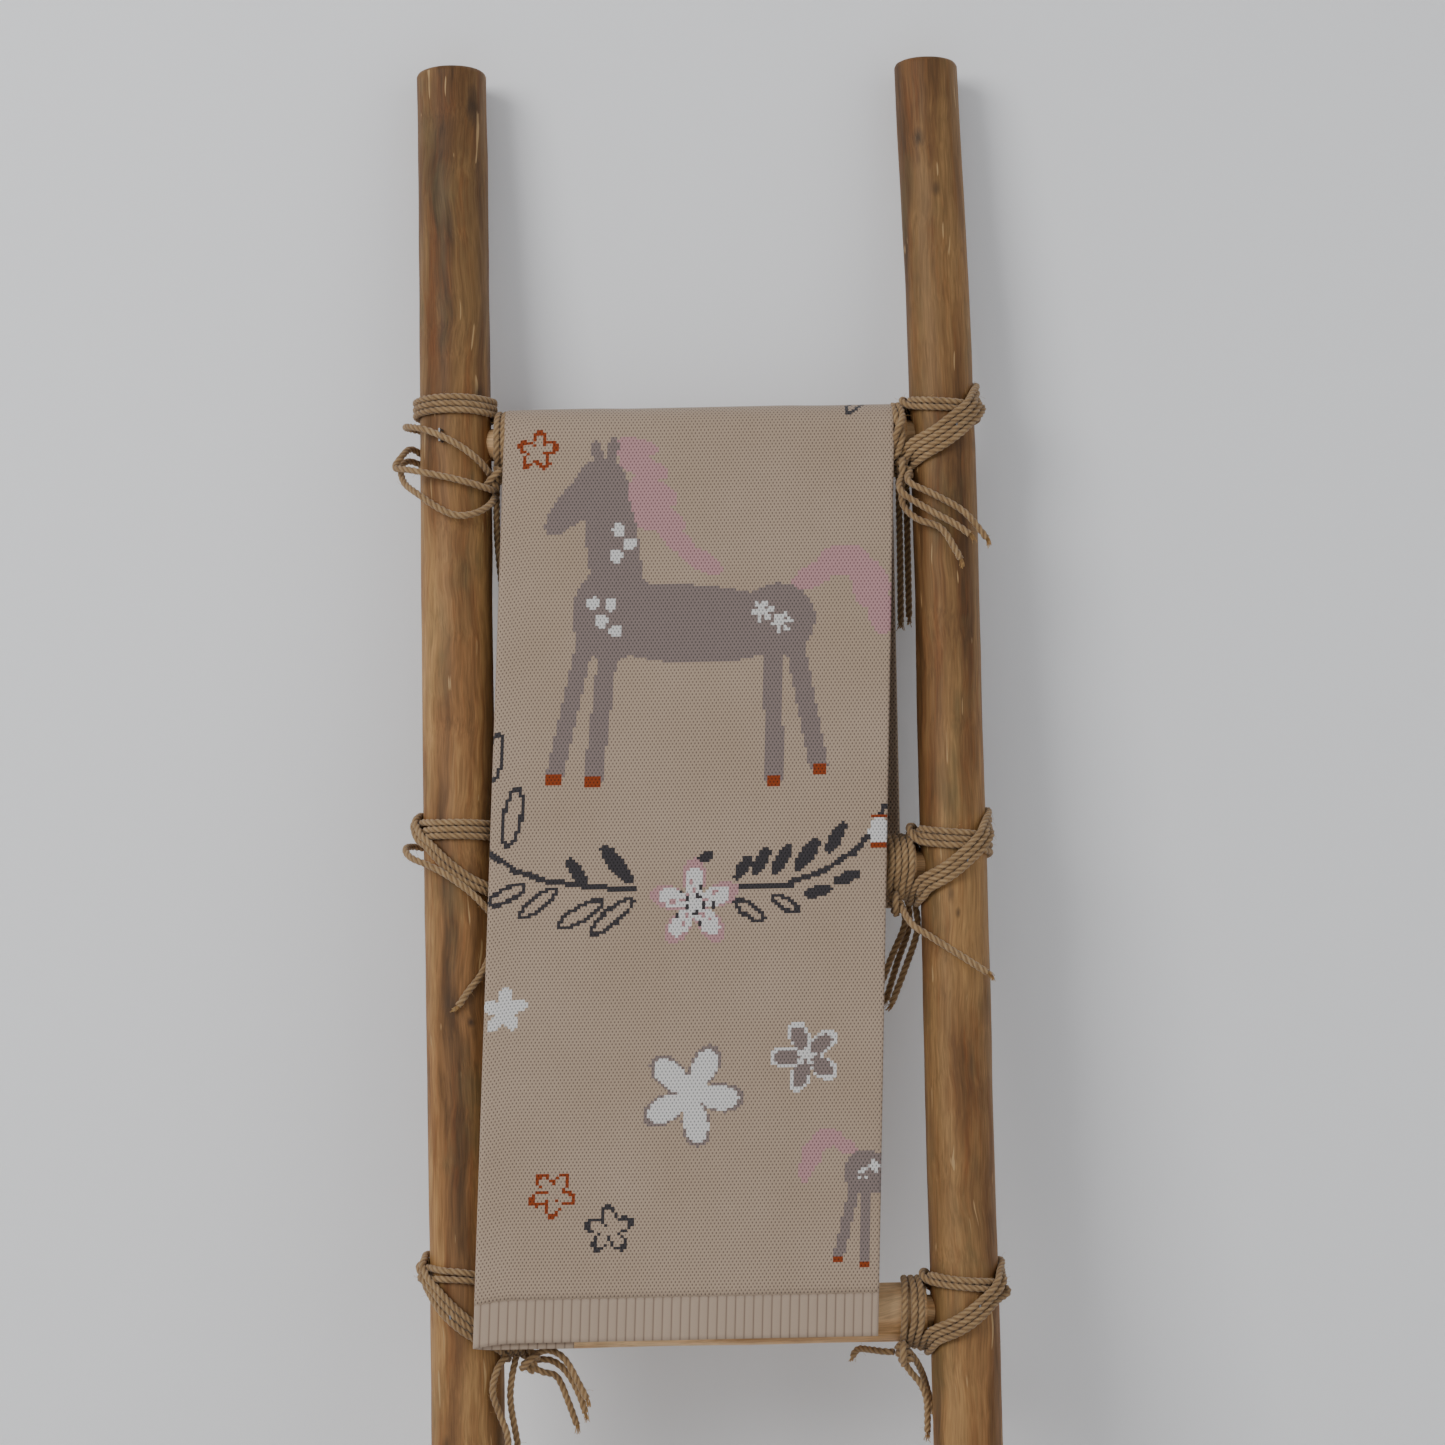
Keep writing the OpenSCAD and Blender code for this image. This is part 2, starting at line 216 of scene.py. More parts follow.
def grid_mesh(
    name: str, rows: np.ndarray, uv: np.ndarray, around: bool, materials: list[Material],
    caps: bool = False,
) -> Piece:
    """Makes a skin through rows of points.

    Args:
        name: The object's name.
        rows: Points as (row, column, xyz), in metres.
        uv: Texture places as (row, column, 2). A skin that closes has one column more.
        around: True if the last column joins the first.
        materials: Materials; the second one goes on the caps.
        caps: True to close the first and last row with a fan of faces.

    Returns:
        The linked object, shaded smooth.
    """
    r, c = rows.shape[:2]
    verts = rows.reshape(-1, 3)
    i, k = np.meshgrid(np.arange(r - 1), np.arange(c if around else c - 1), indexing="ij")
    n = (k + 1) % c
    quads = np.stack([i * c + k, i * c + n, (i + 1) * c + n, (i + 1) * c + k], -1).reshape(-1, 4)
    corner = np.stack([uv[i, k], uv[i, k + 1], uv[i + 1, k + 1], uv[i + 1, k]], -2).reshape(-1, 2)
    mesh = bpy.data.meshes.new(name)
    faces, uvs = quads.tolist(), corner.tolist()
    wall_faces = len(faces)
    if caps:
        verts = np.vstack([verts, rows[0].mean(0), rows[-1].mean(0)])
        for row, centre, flip in ((0, r * c, True), (r - 1, r * c + 1, False)):
            v = uv[row, 0, 1]
            for a in range(c):
                b = (a + 1) % c
                ring = [row * c + a, row * c + b]
                faces.append([*(reversed(ring) if flip else ring), centre])
                uvs += [[0, v], [1, v], [0.5, v]]
    mesh.from_pydata(verts.tolist(), [], faces)
    layer = mesh.uv_layers.new(name="UVMap")
    layer.data.foreach_set("uv", np.asarray(uvs, np.float32).ravel())
    for material in materials:
        mesh.materials.append(material)
    mesh.shade_smooth()
    for polygon in mesh.polygons[wall_faces:]:
        polygon.material_index = min(1, len(materials) - 1)
        polygon.use_smooth = False
    mesh.update()
    return link(bpy.data.objects.new(name, mesh))


def face_outwards(obj: Piece) -> Piece:
    """Turns a closed mesh's faces outwards and returns the object."""
    work = bmesh.new()
    work.from_mesh(obj.data)
    bmesh.ops.recalc_face_normals(work, faces=work.faces)
    work.to_mesh(obj.data)
    work.free()
    return obj


def bake_modifiers(obj: Piece) -> Piece:
    """Replaces an object's mesh by its evaluated one and drops its modifiers.

    Args:
        obj: A mesh or curve object with modifiers.

    Returns:
        A plain mesh object with the same name.
    """
    graph = bpy.context.evaluated_depsgraph_get()
    mesh = bpy.data.meshes.new_from_object(obj.evaluated_get(graph))
    name = obj.name
    if obj.type == "MESH":
        obj.modifiers.clear()
        obj.data = mesh
        return obj
    bpy.data.objects.remove(obj)
    mesh.name = name
    return link(bpy.data.objects.new(name, mesh))


def declare(piece: Piece, body: str, node: str | None = None) -> None:
    """Declares and reports a finished piece.

    Args:
        piece: The piece.
        body: The body that it moves with.
        node: The CAD node that it stands for.
    """
    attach(piece, body)
    if node:
        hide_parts(node)
    LOG.info("%s: %d faces", piece.name, len(piece.data.polygons))


def give_inputs(obj: Piece, tree: Tree, values: dict) -> None:
    """Puts a Geometry Nodes tree on an object with its inputs set.

    Args:
        obj: The object that gets the modifier.
        tree: The tree.
        values: Input name against value.
    """
    modifier = obj.modifiers.new(tree.name, "NODES")
    modifier.node_group = tree
    for item in tree.interface.items_tree:
        if item.item_type == "SOCKET" and item.in_out == "INPUT" and item.name in values:
            modifier[item.identifier] = values[item.name]


# ---- Finishes ----


def surface(name: str) -> tuple[Material, Tree, Node]:
    """Starts a material with one principled shader.

    Args:
        name: The material's name.

    Returns:
        The material, its emptied tree and the shader.
    """
    material = bpy.data.materials.new(name)
    material.use_nodes = True
    tree = material.node_tree
    tree.nodes.clear()
    shader = add(tree, "BsdfPrincipled", out=None)
    add(tree, "OutputMaterial", Surface=shader.outputs["BSDF"], out=None)
    return material, tree, shader


@dataclass(frozen=True)
class Knot:
    """A knot in a pole: its place on the ladder's plane, its size and how dark it is."""

    x: float
    n: float
    u: float
    across: float
    along: float
    depth: float = 0.8


@dataclass(frozen=True)
class SaplingWood:
    """Debarked hardwood sapling, oiled by handling.

    The bark was drawn off with a knife, so the eye gets long brown and reddish
    streaks, thin grain lines, grey-green stains left by the inner bark and a
    dull satin gloss.
    """

    name: str
    pale: str = "#A67E4E"
    mid: str = "#835C36"
    deep: str = "#53381C"
    red: str = "#764521"
    stain: str = "#625737"
    stain_share: float = 0.6
    head_tone: float = 0.72
    across: bool = False
    roughness: float = 0.58
    lean: float = 7.5

    def material(self, knots: tuple[Knot, ...], plane: "LadderPlane") -> Material:
        """Builds the material.

        Args:
            knots: Knots to draw, in the ladder's plane.
            plane: The ladder's plane.

        Returns:
            The wood's material.
        """
        material, tree, shader = surface(self.name)
        place = add(tree, "TexCoord", out="Object")
        # Grain runs along the poles: turn the lean away, then squeeze the long way
        turned = add(
            tree, "VectorRotate", Vector=place, Angle=math.radians(self.lean),
            rotation_type="X_AXIS"
        )
        straight = turned
        # The grain wanders a few millimetres to and fro
        wander = add(tree, "VectorMath.MULTIPLY", turned, (9, 9, 14))
        wander = add(tree, "TexNoise", Vector=wander, Scale=1.0, Detail=2.0, out="Color")
        turned = add(tree, "VectorMath.MULTIPLY_ADD", wander, (0.012, 0.012, 0.04), turned)
        streaks = self._noise(tree, turned, (46, 46, 4.2), 4.0, 0.58)
        bands = self._noise(tree, turned, (130, 130, 10.0), 3.0, 0.6)
        grain = self._noise(tree, turned, (900, 900, 26.0), 2.0, 0.7)
        colour = set_stops(
            add(tree, "ValToRGB", Fac=streaks, out=None),
            [(0.3, self.deep), (0.44, self.mid), (0.6, self.pale), (0.74, self.mid)],
        )
        # Whole stretches of a pole are darker where more of the inner bark stayed on
        stretch = add(
            tree, "MapRange", self._noise(tree, turned, (9, 9, 3.4), 2.0, 0.5), 0.36, 0.66, 0.74,
            1.24
        )
        up = add(tree, "VectorMath.DOT_PRODUCT", place, (0, 0, 1), out="Value")
        head = add(tree, "MapRange", up, 1.0, 1.3, 1.0, self.head_tone)
        stretch = add(tree, "Math.MULTIPLY", stretch, head)
        colour = add(tree, "VectorMath.SCALE", colour, Scale=stretch)
        redness = add(tree, "MapRange", bands, 0.52, 0.72, 0.0, 0.6)
        colour = self._mix(tree, redness, colour, linear(self.red))
        stain = add(
            tree, "MapRange", self._noise(tree, turned, (32, 32, 11), 4.0, 0.6), 0.56, 0.74, 0.0,
            self.stain_share
        )
        colour = self._mix(tree, stain, colour, linear(self.stain))
        lines = add(tree, "MapRange", grain, 0.34, 0.7, 0.74, 1.18)
        colour = add(tree, "VectorMath.SCALE", colour, Scale=lines)
        # Nicks of the drawknife: short pale slivers that leave the inner wood bare
        nicks = add(
            tree, "MapRange", self._noise(tree, turned, (330, 330, 22), 1.0, 0.3), 0.735, 0.765
        )
        colour = self._mix(tree, nicks, colour, linear("#AD8C60"))
        for knot in knots:
            colour = self._knot(tree, colour, straight, knot, plane)
        rough = add(tree, "MapRange", bands, 0.0, 1.0, self.roughness - 0.12, self.roughness + 0.14)
        height = add(tree, "Math.MULTIPLY_ADD", bands, 1.4, grain)
        bump = add(tree, "Bump", Height=height, Strength=0.35, Distance=0.0007)
        set_inputs(
            shader,
            {"Base Color": colour, "Roughness": rough, "Specular IOR Level": 0.3, "Normal": bump}
        )
        return material

    def _noise(
        self, tree: Tree, place: Socket, scale: tuple, detail: float, rough: float
    ) -> Socket:
        """Adds noise with scale features a metre, its axes swapped for wood that lies across.

        Args:
            tree: The material's tree.
            place: Where the noise is read.
            scale: Features a metre on each axis.
            detail: Octaves of the noise.
            rough: Weight of the finer octaves.

        Returns:
            The noise's value.
        """
        scaled = add(tree, "VectorMath.MULTIPLY", place, scale[::-1] if self.across else scale)
        return add(tree, "TexNoise", Vector=scaled, Scale=1.0, Detail=detail, Roughness=rough)

    def _mix(self, tree: Tree, share: Socket, under: Socket, over: Colour | Socket) -> Socket:
        """Mixes one colour over another by share and returns the result."""
        mix = add(tree, "Mix", share, at={6: under, 7: over}, data_type="RGBA", out=None)
        return mix.outputs[2]

    def _knot(
        self, tree: Tree, colour: Socket, place: Socket, knot: Knot, plane: "LadderPlane"
    ) -> Socket:
        """Draws one knot over the wood's colour.

        Args:
            tree: The material's tree.
            colour: The wood's colour so far.
            place: The turned object coordinates.
            knot: The knot.
            plane: The ladder's plane.

        Returns:
            The colour with the knot on it.
        """
        centre = plane.turned((knot.x, knot.n, knot.u))
        away = add(tree, "VectorMath.SUBTRACT", place, centre)
        size = (1000 / knot.across, 1000 / knot.across, 1000 / knot.along)
        away = add(tree, "VectorMath.MULTIPLY", away, size)
        far = add(tree, "VectorMath.LENGTH", away, out="Value")
        far = add(
            tree, "Math.MULTIPLY_ADD", self._noise(tree, place, (260, 260, 90), 2.0, 0.5), 0.9, far
        )
        share = add(tree, "MapRange", far, 1.5, 0.6, 0.0, knot.depth)
        return self._mix(tree, share, colour, linear("#35281C"))


@dataclass(frozen=True)
class SawnEnd:
    """End grain of a sapling cut with a hand saw.

    It shows growth rings, a slightly paler cut face and a dry, dull surface.
    """

    name: str = "sawn_end_grain"

    def material(self, plane: "LadderPlane") -> Material:
        """Returns the end grain's material.

        Args:
            plane: The ladder's plane, for the turn of the pole's own axes.
        """
        material, tree, shader = surface(self.name)
        place = add(tree, "TexCoord", out="Object")
        turned = add(
            tree, "VectorRotate", Vector=place, Angle=math.radians(plane.lean),
            rotation_type="X_AXIS"
        )
        side = add(tree, "VectorMath.ABSOLUTE", turned)
        centre = plane.turned((165, 0, 0))
        away = add(tree, "VectorMath.SUBTRACT", side, (0.165, abs(centre[1]), 0))
        flat = add(tree, "VectorMath.MULTIPLY", away, (1, 1, 0))
        far = add(tree, "VectorMath.LENGTH", flat, out="Value")
        wobble = add(tree, "TexNoise", Vector=turned, Scale=90.0, Detail=2.0)
        ring = add(tree, "Math.MULTIPLY_ADD", wobble, 0.004, far)
        # A growth ring every 2.6 mm
        ring = add(tree, "Math.MULTIPLY", ring, math.tau / 0.0026)
        ring = add(tree, "Math.SINE", ring)
        colour = set_stops(
            add(tree, "ValToRGB", Fac=add(tree, "MapRange", ring, -1.0), out=None),
            [(0.0, "#7A5C3B"), (0.6, "#A58560"), (1.0, "#94744F")],
        )
        set_inputs(shader, {"Base Color": colour, "Roughness": 0.82})
        return material


@dataclass(frozen=True)
class JuteTwine:
    """Three-ply laid jute, spun from coarse undyed fibre.

    Each ply is a bundle of nearly parallel golden fibres, so the eye gets fine
    lines that run a little askew of the ply and a dry surface. The darker grooves
    between the plies are painted shade.
    """

    name: str = "laid_jute_twine"
    pale: str = "#B09168"
    mid: str = "#8C6D48"
    # The groove colour is painted shade between the plies.
    groove: str = "#493521"
    fibre_turns: float = 18.0
    roughness: float = 0.9

    def material(self) -> Material:
        """Returns the twine's material; it reads the twine's own UV map."""
        material, tree, shader = surface(self.name)
        uv = add(tree, "UVMap", uv_map="UVMap")
        parts = add(tree, "SeparateXYZ", uv, out=None)
        # u counts once round the twine, so three plies are three waves
        wave = add(tree, "Math.MULTIPLY", parts.outputs[0], 3 * math.pi)
        wave = add(tree, "Math.COSINE", wave)
        # Painted shade: the grooves between the plies come out darker than the plies' crowns.
        painted_ply_shade = add(tree, "Math.ABSOLUTE", wave)
        fibres = add(tree, "VectorMath.MULTIPLY", uv, (self.fibre_turns, 120.0, 1.0))
        fine = add(tree, "TexNoise", Vector=fibres, Scale=2.4, Detail=3.0, Roughness=0.7)
        place = add(tree, "TexCoord", out="Object")
        patch = add(tree, "TexNoise", Vector=place, Scale=55.0, Detail=2.0)
        tone = add(tree, "Math.MULTIPLY_ADD", painted_ply_shade, 0.55, fine)
        tone = add(tree, "Math.MULTIPLY_ADD", patch, 0.5, tone)
        colour = set_stops(
            add(tree, "ValToRGB", Fac=add(tree, "MapRange", tone, 0.45, 1.6), out=None),
            [(0.0, self.groove), (0.5, self.mid), (0.85, self.pale), (1.0, "#C4A77F")],
        )
        bump = add(tree, "Bump", Height=fine, Strength=0.5, Distance=0.0003)
        set_inputs(
            shader,
            {
                "Base Color": colour, "Roughness": self.roughness, "Sheen Weight": 0.25,
                "Normal": bump
            }
        )
        return material


@dataclass(frozen=True)
class BareFibre:
    """Loose jute fibre: brighter and more golden than the twine, because it is one strand thick."""

    name: str = "loose_jute_fibre"
    colour: str = "#BC945C"

    def material(self) -> Material:
        """Returns the fibre's material."""
        material, tree, shader = surface(self.name)
        place = add(tree, "TexCoord", out="Object")
        patch = add(tree, "TexNoise", Vector=place, Scale=400.0, Detail=1.0)
        colour = set_stops(
            add(tree, "ValToRGB", Fac=patch, out=None),
            [(0.3, "#96714A"), (0.6, self.colour), (0.8, "#CFB182")],
        )
        set_inputs(shader, {"Base Color": colour, "Roughness": 0.75})
        return material


@dataclass(frozen=True)
class Metal:
    """Plain metal of the small hardware.

    The screws are zinc-plated steel, a soft grey gleam; the staples are dull
    galvanised wire, which catches the light as small grey points.
    """

    name: str
    colour: str
    roughness: float

    def material(self) -> Material:
        """Returns the metal's material, with faint handling marks in its roughness."""
        material, tree, shader = surface(self.name)
        place = add(tree, "TexCoord", out="Object")
        marks = add(tree, "TexNoise", Vector=place, Scale=900.0, Detail=2.0)
        rough = add(tree, "MapRange", marks, 0.0, 1.0, self.roughness - 0.08, self.roughness + 0.12)
        set_inputs(shader, {"Metallic": 1.0, "Base Color": linear(self.colour), "Roughness": rough})
        return material


# ---- The knit's chart ----


class Yarn(Enum):
    """Yarn colours of the jacquard chart."""

    SAND = "#AC9682"
    GREY = "#82736E"
    PINK = "#B4898A"
    RUST = "#8A3A18"
    WHITE = "#D5D2CF"
    CHARCOAL = "#3B3739"


class Shape(Enum):
    """Outlines that a motif is built from."""

    OVAL = "oval"
    BAR = "bar"
    BLOOM = "bloom"


@dataclass(frozen=True)
class Motif:
    """One shape of the chart.

    a is across from the left fold and b is up from the front hem's lower edge, in
    millimetres; wide and high are half sizes, or a bloom's reach and rim; turn is in
    degrees.
    """

    shape: Shape
    a: float
    b: float
    wide: float
    high: float
    turn: float = 0.0
    petals: int = 5


@dataclass(frozen=True)
class Patch:
    """Motifs knitted in one yarn; soft lets them melt into one outline."""

    yarn: Yarn
    motifs: tuple[Motif, ...]
    soft: float = 0.0


def shapes(shape: Shape, *sizes: tuple) -> tuple[Motif, ...]:
    """Returns one motif of the shape for each row of sizes."""
    return tuple(Motif(shape, *row) for row in sizes)


def pony() -> list[Patch]:
    """Returns a plain pony about the middle of its body, facing left."""
    return [
        Patch(Yarn.PINK, shapes(
            Shape.OVAL,
            (-44, 123, 17, 7, -6), (-36, 109, 18, 7, -20), (-28, 93, 18, 7, -30),
            (-22, 76, 18, 7, -36), (-13, 59, 18, 7, -42), (4, 44, 17, 7, -30),
            (-34, 84, 13, 20, 20), (82, 32, 17, 8, 28), (102, 42, 18, 11, 0),
            (119, 30, 18, 11, -48), (127, 8, 18, 9, -78), (119, 20, 12, 10, -60))),
        Patch(Yarn.GREY, shapes(
            Shape.OVAL,
            (-2, 0, 74, 27, -3), (-58, 6, 24, 31, 10), (58, 2, 25, 25, 0), (-55, 50, 18, 58, 8),
            (-65, 98, 18, 17, 0), (-82, 86, 11, 29, -40), (-58, 120, 4, 11, -10),
            (-68, 119, 3.6, 10, 8))
            + shapes(
            Shape.BAR,
            (-81, -54, 6, 52, -11), (-60, -54, 6.5, 52, -5), (56, -54, 6.5, 54, 1),
            (77, -50, 6.5, 52, 12)), 0.12),
        Patch(Yarn.RUST, shapes(
            Shape.BAR, (-91, -105, 5, 4), (-65, -107, 5, 4), (57, -108, 5, 4), (88, -101, 5, 4))),
        Patch(Yarn.WHITE, shapes(
            Shape.OVAL, *((x, y, 4.2, 4.6) for x, y in (
                (-52, 66), (-44, 56), (-53, 48), (-68, 15), (-56, 14), (-62, 3), (-52, -4))))
            + shapes(Shape.BLOOM, (47, 8, 8, 0, 10, 6), (60, 0, 8, 0, 10, 6))),
    ]


def garland() -> list[Patch]:
    """Returns two leafy sprigs that meet at a large flower."""
    open_leaves = (
        (15, 349, 21, 7.5, 82), (13, 297, 14, 6, 20), (34, 290, 16, 6, 38), (63, 282, 18, 6.5, 30),
        (84, 280, 19, 6.5, 40), (176, 282, 13, 5.5, -35), (200, 286, 11, 5, -30),
        (241, 634, 13, 5.5, 62), (2, 392, 17, 6.5, 86), (196, 730, 13, 5.5, 40))
    dark_leaves = (
        (86, 315, 17, 5.5, -52), (60, 309, 13, 4.5, -58), (171, 311, 10, 4, 60),
        (183, 315, 11, 4.5, 62), (197, 316, 12, 4.5, 58), (214, 319, 13, 5, 56),
        (233, 330, 12, 4.5, 62), (222, 294, 10, 4, 12), (241, 303, 10, 4, 20),
        (143, 317, 9, 3.5, 30))
    stems = (
        (8, 321, 13, 1.9, -38), (27, 309, 13, 1.9, -20), (52, 303, 16, 1.9, -8),
        (82, 299, 18, 1.9, -5), (186, 298, 20, 1.9, 2), (214, 304, 13, 1.9, 18),
        (235, 314, 12, 1.9, 35), (252, 328, 13, 1.9, 52), (263, 345, 9, 1.9, 68))
    hearts = tuple((a, b, wide - 3.4, high - 3, turn) for a, b, wide, high, turn in open_leaves)
    return [
        Patch(Yarn.CHARCOAL, shapes(Shape.OVAL, *open_leaves)),
        Patch(Yarn.SAND, shapes(Shape.OVAL, *hearts)),
        Patch(Yarn.CHARCOAL, shapes(Shape.OVAL, *dark_leaves) + shapes(Shape.BAR, *stems)),
    ]


def flowers() -> list[Patch]:
    """Returns the scattered flowers: rims first, then what fills them."""
    grey, white, rust, ink, sand = Yarn.GREY, Yarn.WHITE, Yarn.RUST, Yarn.CHARCOAL, Yarn.SAND
    rows = (
        (140, 160, 32, grey, white, 65), (216, 184, 21, white, grey, 38),
        (50, 96, 13, rust, sand, 55), (88, 72, 13.5, ink, sand, 20), (24, 600, 11, rust, sand, 12),
        (14, 219, 12, white, white, 15), (60, 770, 20, grey, white, 30),
        (110, 955, 14, rust, sand, 10), (215, 945, 15, white, grey, 40),
        (420, 180, 26, grey, white, 20), (480, 300, 17, white, grey, 5),
        (370, 760, 18, ink, sand, 35), (480, 900, 18, grey, white, 15))
    patches = []
    for yarn in (grey, white, rust, ink):
        rims = [(a, b, size, 3.4, turn) for a, b, size, rim, _, turn in rows if rim is yarn]
        patches.append(Patch(yarn, shapes(Shape.BLOOM, *rims)))
    for yarn in (white, grey, sand):
        middles = [(a, b, size, 0, turn) for a, b, size, _, middle, turn in rows if middle is yarn]
        patches.append(Patch(yarn, shapes(Shape.BLOOM, *middles)))
    spokes = [(139 + r * math.cos(t), 287 + r * math.sin(t), 2.4, 1.4, math.degrees(t))
              for r in (9, 15, 21)
              for t in (math.radians(20 + 72 * k + (r - 9) * 1.4) for k in range(5))]
    seeds = [(139 + r * math.cos(t), 287 + r * math.sin(t), 1.3, 2.2)
             for r in (6, 13) for t in (math.radians(56 + 72 * k + r) for k in range(5))]
    return patches + [
        Patch(Yarn.PINK, shapes(Shape.BLOOM, (139, 287, 31, 0, 20))),
        Patch(white, shapes(Shape.BLOOM, (139, 287, 25, 0, 20), (216, 184, 7, 0, 10))
              + shapes(Shape.OVAL, (262, 334, 7, 9))),
        Patch(Yarn.PINK, shapes(Shape.OVAL, *spokes)),
        Patch(ink, shapes(Shape.OVAL, *seeds)),
        Patch(rust, shapes(Shape.BAR, (262, 344, 6, 1.5), (262, 325, 6, 1.5))),
    ]


@dataclass(frozen=True)
class JacquardKnit:
    """Two-faced cotton jacquard in a birdseye stitch.

    Each stitch shows as a step in the outlines, and the yarn of the back face
    shows through as a dark dot between stitches, so the eye gets a speckled,
    slightly pebbly cloth with no gloss.
    """

    name: str = "jacquard_cotton_knit"
    stitch: float = 2.2
    dot_across: float = 2.5
    dot_along: float = 4.2
    dot_strength: float = 0.64
    flap: float = 66.0
    ponies: tuple = (
        (133, 478, 1.0, 1), (289, 106, 0.56, -1), (168, 850, 0.8, -1), (420, 480, 1.0, 1)
    )

    def material(self) -> Material:
        """Returns the knit's material; it reads the cloth's own UV map, in metres."""
        material, tree, shader = surface(self.name)
        uv = add(tree, "UVMap", uv_map="UVMap")
        step = self.stitch * MM
        stitches = add(tree, "VectorMath.SNAP", uv, (step, step * 0.85, 1))
        ground = add(tree, "TexNoise", Vector=uv, Scale=14.0, Detail=3.0)
        colour = set_stops(
            add(tree, "ValToRGB", Fac=ground, out=None), [(0.3, "#A8927D"), (0.7, "#AE9884")]
        )
        groups = {Shape.BAR: self._bar(), Shape.BLOOM: self._bloom()}
        # The chart's own millimetres, from the left fold and the hem
        chart = self._place(tree, stitches, (self.flap, 0, 1.0, 1))
        colour = self._paint(tree, colour, self._nearest(tree, chart), pony(), groups)
        colour = self._paint(tree, colour, chart, garland() + flowers(), groups)
        dots, height = self._birdseye(tree, uv)
        shade = add(tree, "MapRange", dots, 0.0, 1.0, 1.06, 1.0 - self.dot_strength)
        colour = add(tree, "VectorMath.SCALE", colour, Scale=shade)
        bump = add(tree, "Bump", Height=height, Strength=0.5, Distance=0.0004)
        set_inputs(
            shader,
            {
                "Base Color": colour, "Roughness": 0.96, "Sheen Weight": 0.2,
                "Specular IOR Level": 0.25, "Normal": bump
            },
        )
        return material

    def _place(self, tree: Tree, place: Socket, at: tuple, unit: float = MM) -> Socket:
        """Moves a place into a motif's own frame.

        Args:
            tree: The material's tree.
            place: Where the chart is read.
            at: Across, up, size and 1 or -1 for a mirrored copy.
            unit: Size of one millimetre in the place's own unit.

        Returns:
            The place, in the motif's millimetres.
        """
        a, b, size, side = at
        grow = (side / (size * unit), 1 / (size * unit), 0)
        return add(tree, "VectorMath.MULTIPLY_ADD", place, grow, (-a * side / size, -b / size, 0))

    def _nearest(self, tree: Tree, chart: Socket) -> Socket:
        """Returns the place from the nearest pony's middle, in its own size."""
        best = far = None
        for at in self.ponies:
            own = self._place(tree, chart, at, 1.0)
            length = add(tree, "VectorMath.LENGTH", own, out="Value")
            if best is None:
                best, far = own, length
                continue
            nearer = add(tree, "Math.LESS_THAN", length, far)
            best = add(tree, "Mix", nearer, at={4: best, 5: own}, data_type="VECTOR", out=1)
            far = add(tree, "Math.MINIMUM", length, far)
        return best

    def _paint(
        self, tree: Tree, colour: Socket, chart: Socket, patches: list[Patch], groups: dict
    ) -> Socket:
        """Knits patches over a colour.

        Args:
            tree: The material's tree.
            colour: What lies under.
            chart: Where the chart is read, in millimetres.
            patches: The patches, the lowest first.
            groups: The bar's and the bloom's node groups.

        Returns:
            The colour with the patches on it.
        """
        for patch in patches:
            nearest = None
            for motif in patch.motifs:
                far = self._far(tree, chart, motif, groups)
                if nearest is None:
                    nearest = far
                    continue
                kind = "SMOOTH_MIN" if patch.soft else "MINIMUM"
                nearest = add(tree, "Math", nearest, far, patch.soft, operation=kind)
            inside = add(tree, "Math.LESS_THAN", nearest, 1.0)
            colour = add(
                tree, "Mix", inside, at={6: colour, 7: linear(patch.yarn.value)}, data_type="RGBA",
                out=2
            )
        return colour

    def _far(self, tree: Tree, chart: Socket, motif: Motif, groups: dict) -> Socket:
        """Measures how far out of a motif each stitch is.

        Args:
            tree: The material's tree.
            chart: Where the chart is read.
            motif: The motif.
            groups: The bar's and the bloom's node groups.

        Returns:
            A measure that is 1 on the motif's outline and less inside it.
        """
        c, s = math.cos(math.radians(motif.turn)), math.sin(math.radians(motif.turn))
        middle = Vector((motif.a, motif.b, 0))
        if motif.shape is Shape.OVAL:
            return self._oval(tree, chart, middle, motif, (c, s))
        node = add(tree, "Group", node_tree=groups[motif.shape], out=None)
        if motif.shape is Shape.BAR:
            tree.links.new(chart, node.inputs["Place"])
            for label, axis, half in (
                ("Across", Vector((c, s, 0)), motif.wide), ("Along", Vector((-s, c, 0)), motif.high)
            ):
                node.inputs[label].default_value = axis / half
                node.inputs[label + " Middle"].default_value = middle.dot(axis) / half
            return node.outputs[0]
        tree.links.new(
            self._place(tree, chart, (motif.a, motif.b, motif.wide, 1), 1.0), node.inputs["Place"]
        )
        rim = motif.high / motif.wide
        cleft = 0.24 + 1.2 * rim
        for label, value in (
            ("Half Petals", motif.petals / 2),
            ("Phase", -math.radians(motif.turn) * motif.petals / 2),
            ("Cleft", cleft),
            ("Rise", 1 + rim - cleft),
        ):
            node.inputs[label].default_value = value
        return node.outputs[0]

    def _oval(
        self, tree: Tree, chart: Socket, middle: Vector, motif: Motif, axis: tuple[float, float]
    ) -> Socket:
        """Measures an oval by its two foci, whose distances add up to its length on the outline.

        Args:
            tree: The material's tree.
            chart: Where the chart is read.
            middle: The oval's middle.
            motif: The oval.
            axis: Cosine and sine of its turn.

        Returns:
            A measure that is 1 on the outline.
        """
        c, s = axis
        way = Vector((c, s, 0)) if motif.wide >= motif.high else Vector((-s, c, 0))
        long, short = max(motif.wide, motif.high), min(motif.wide, motif.high)
        foci = [middle + way * k * math.sqrt(long * long - short * short) for k in (-1, 1)]
        near, other = (
            add(tree, "VectorMath.DISTANCE", chart, focus, out="Value") for focus in foci
        )
        total = add(tree, "Math.ADD", near, other)
        return add(tree, "Math.MULTIPLY", total, 0.5 / long)

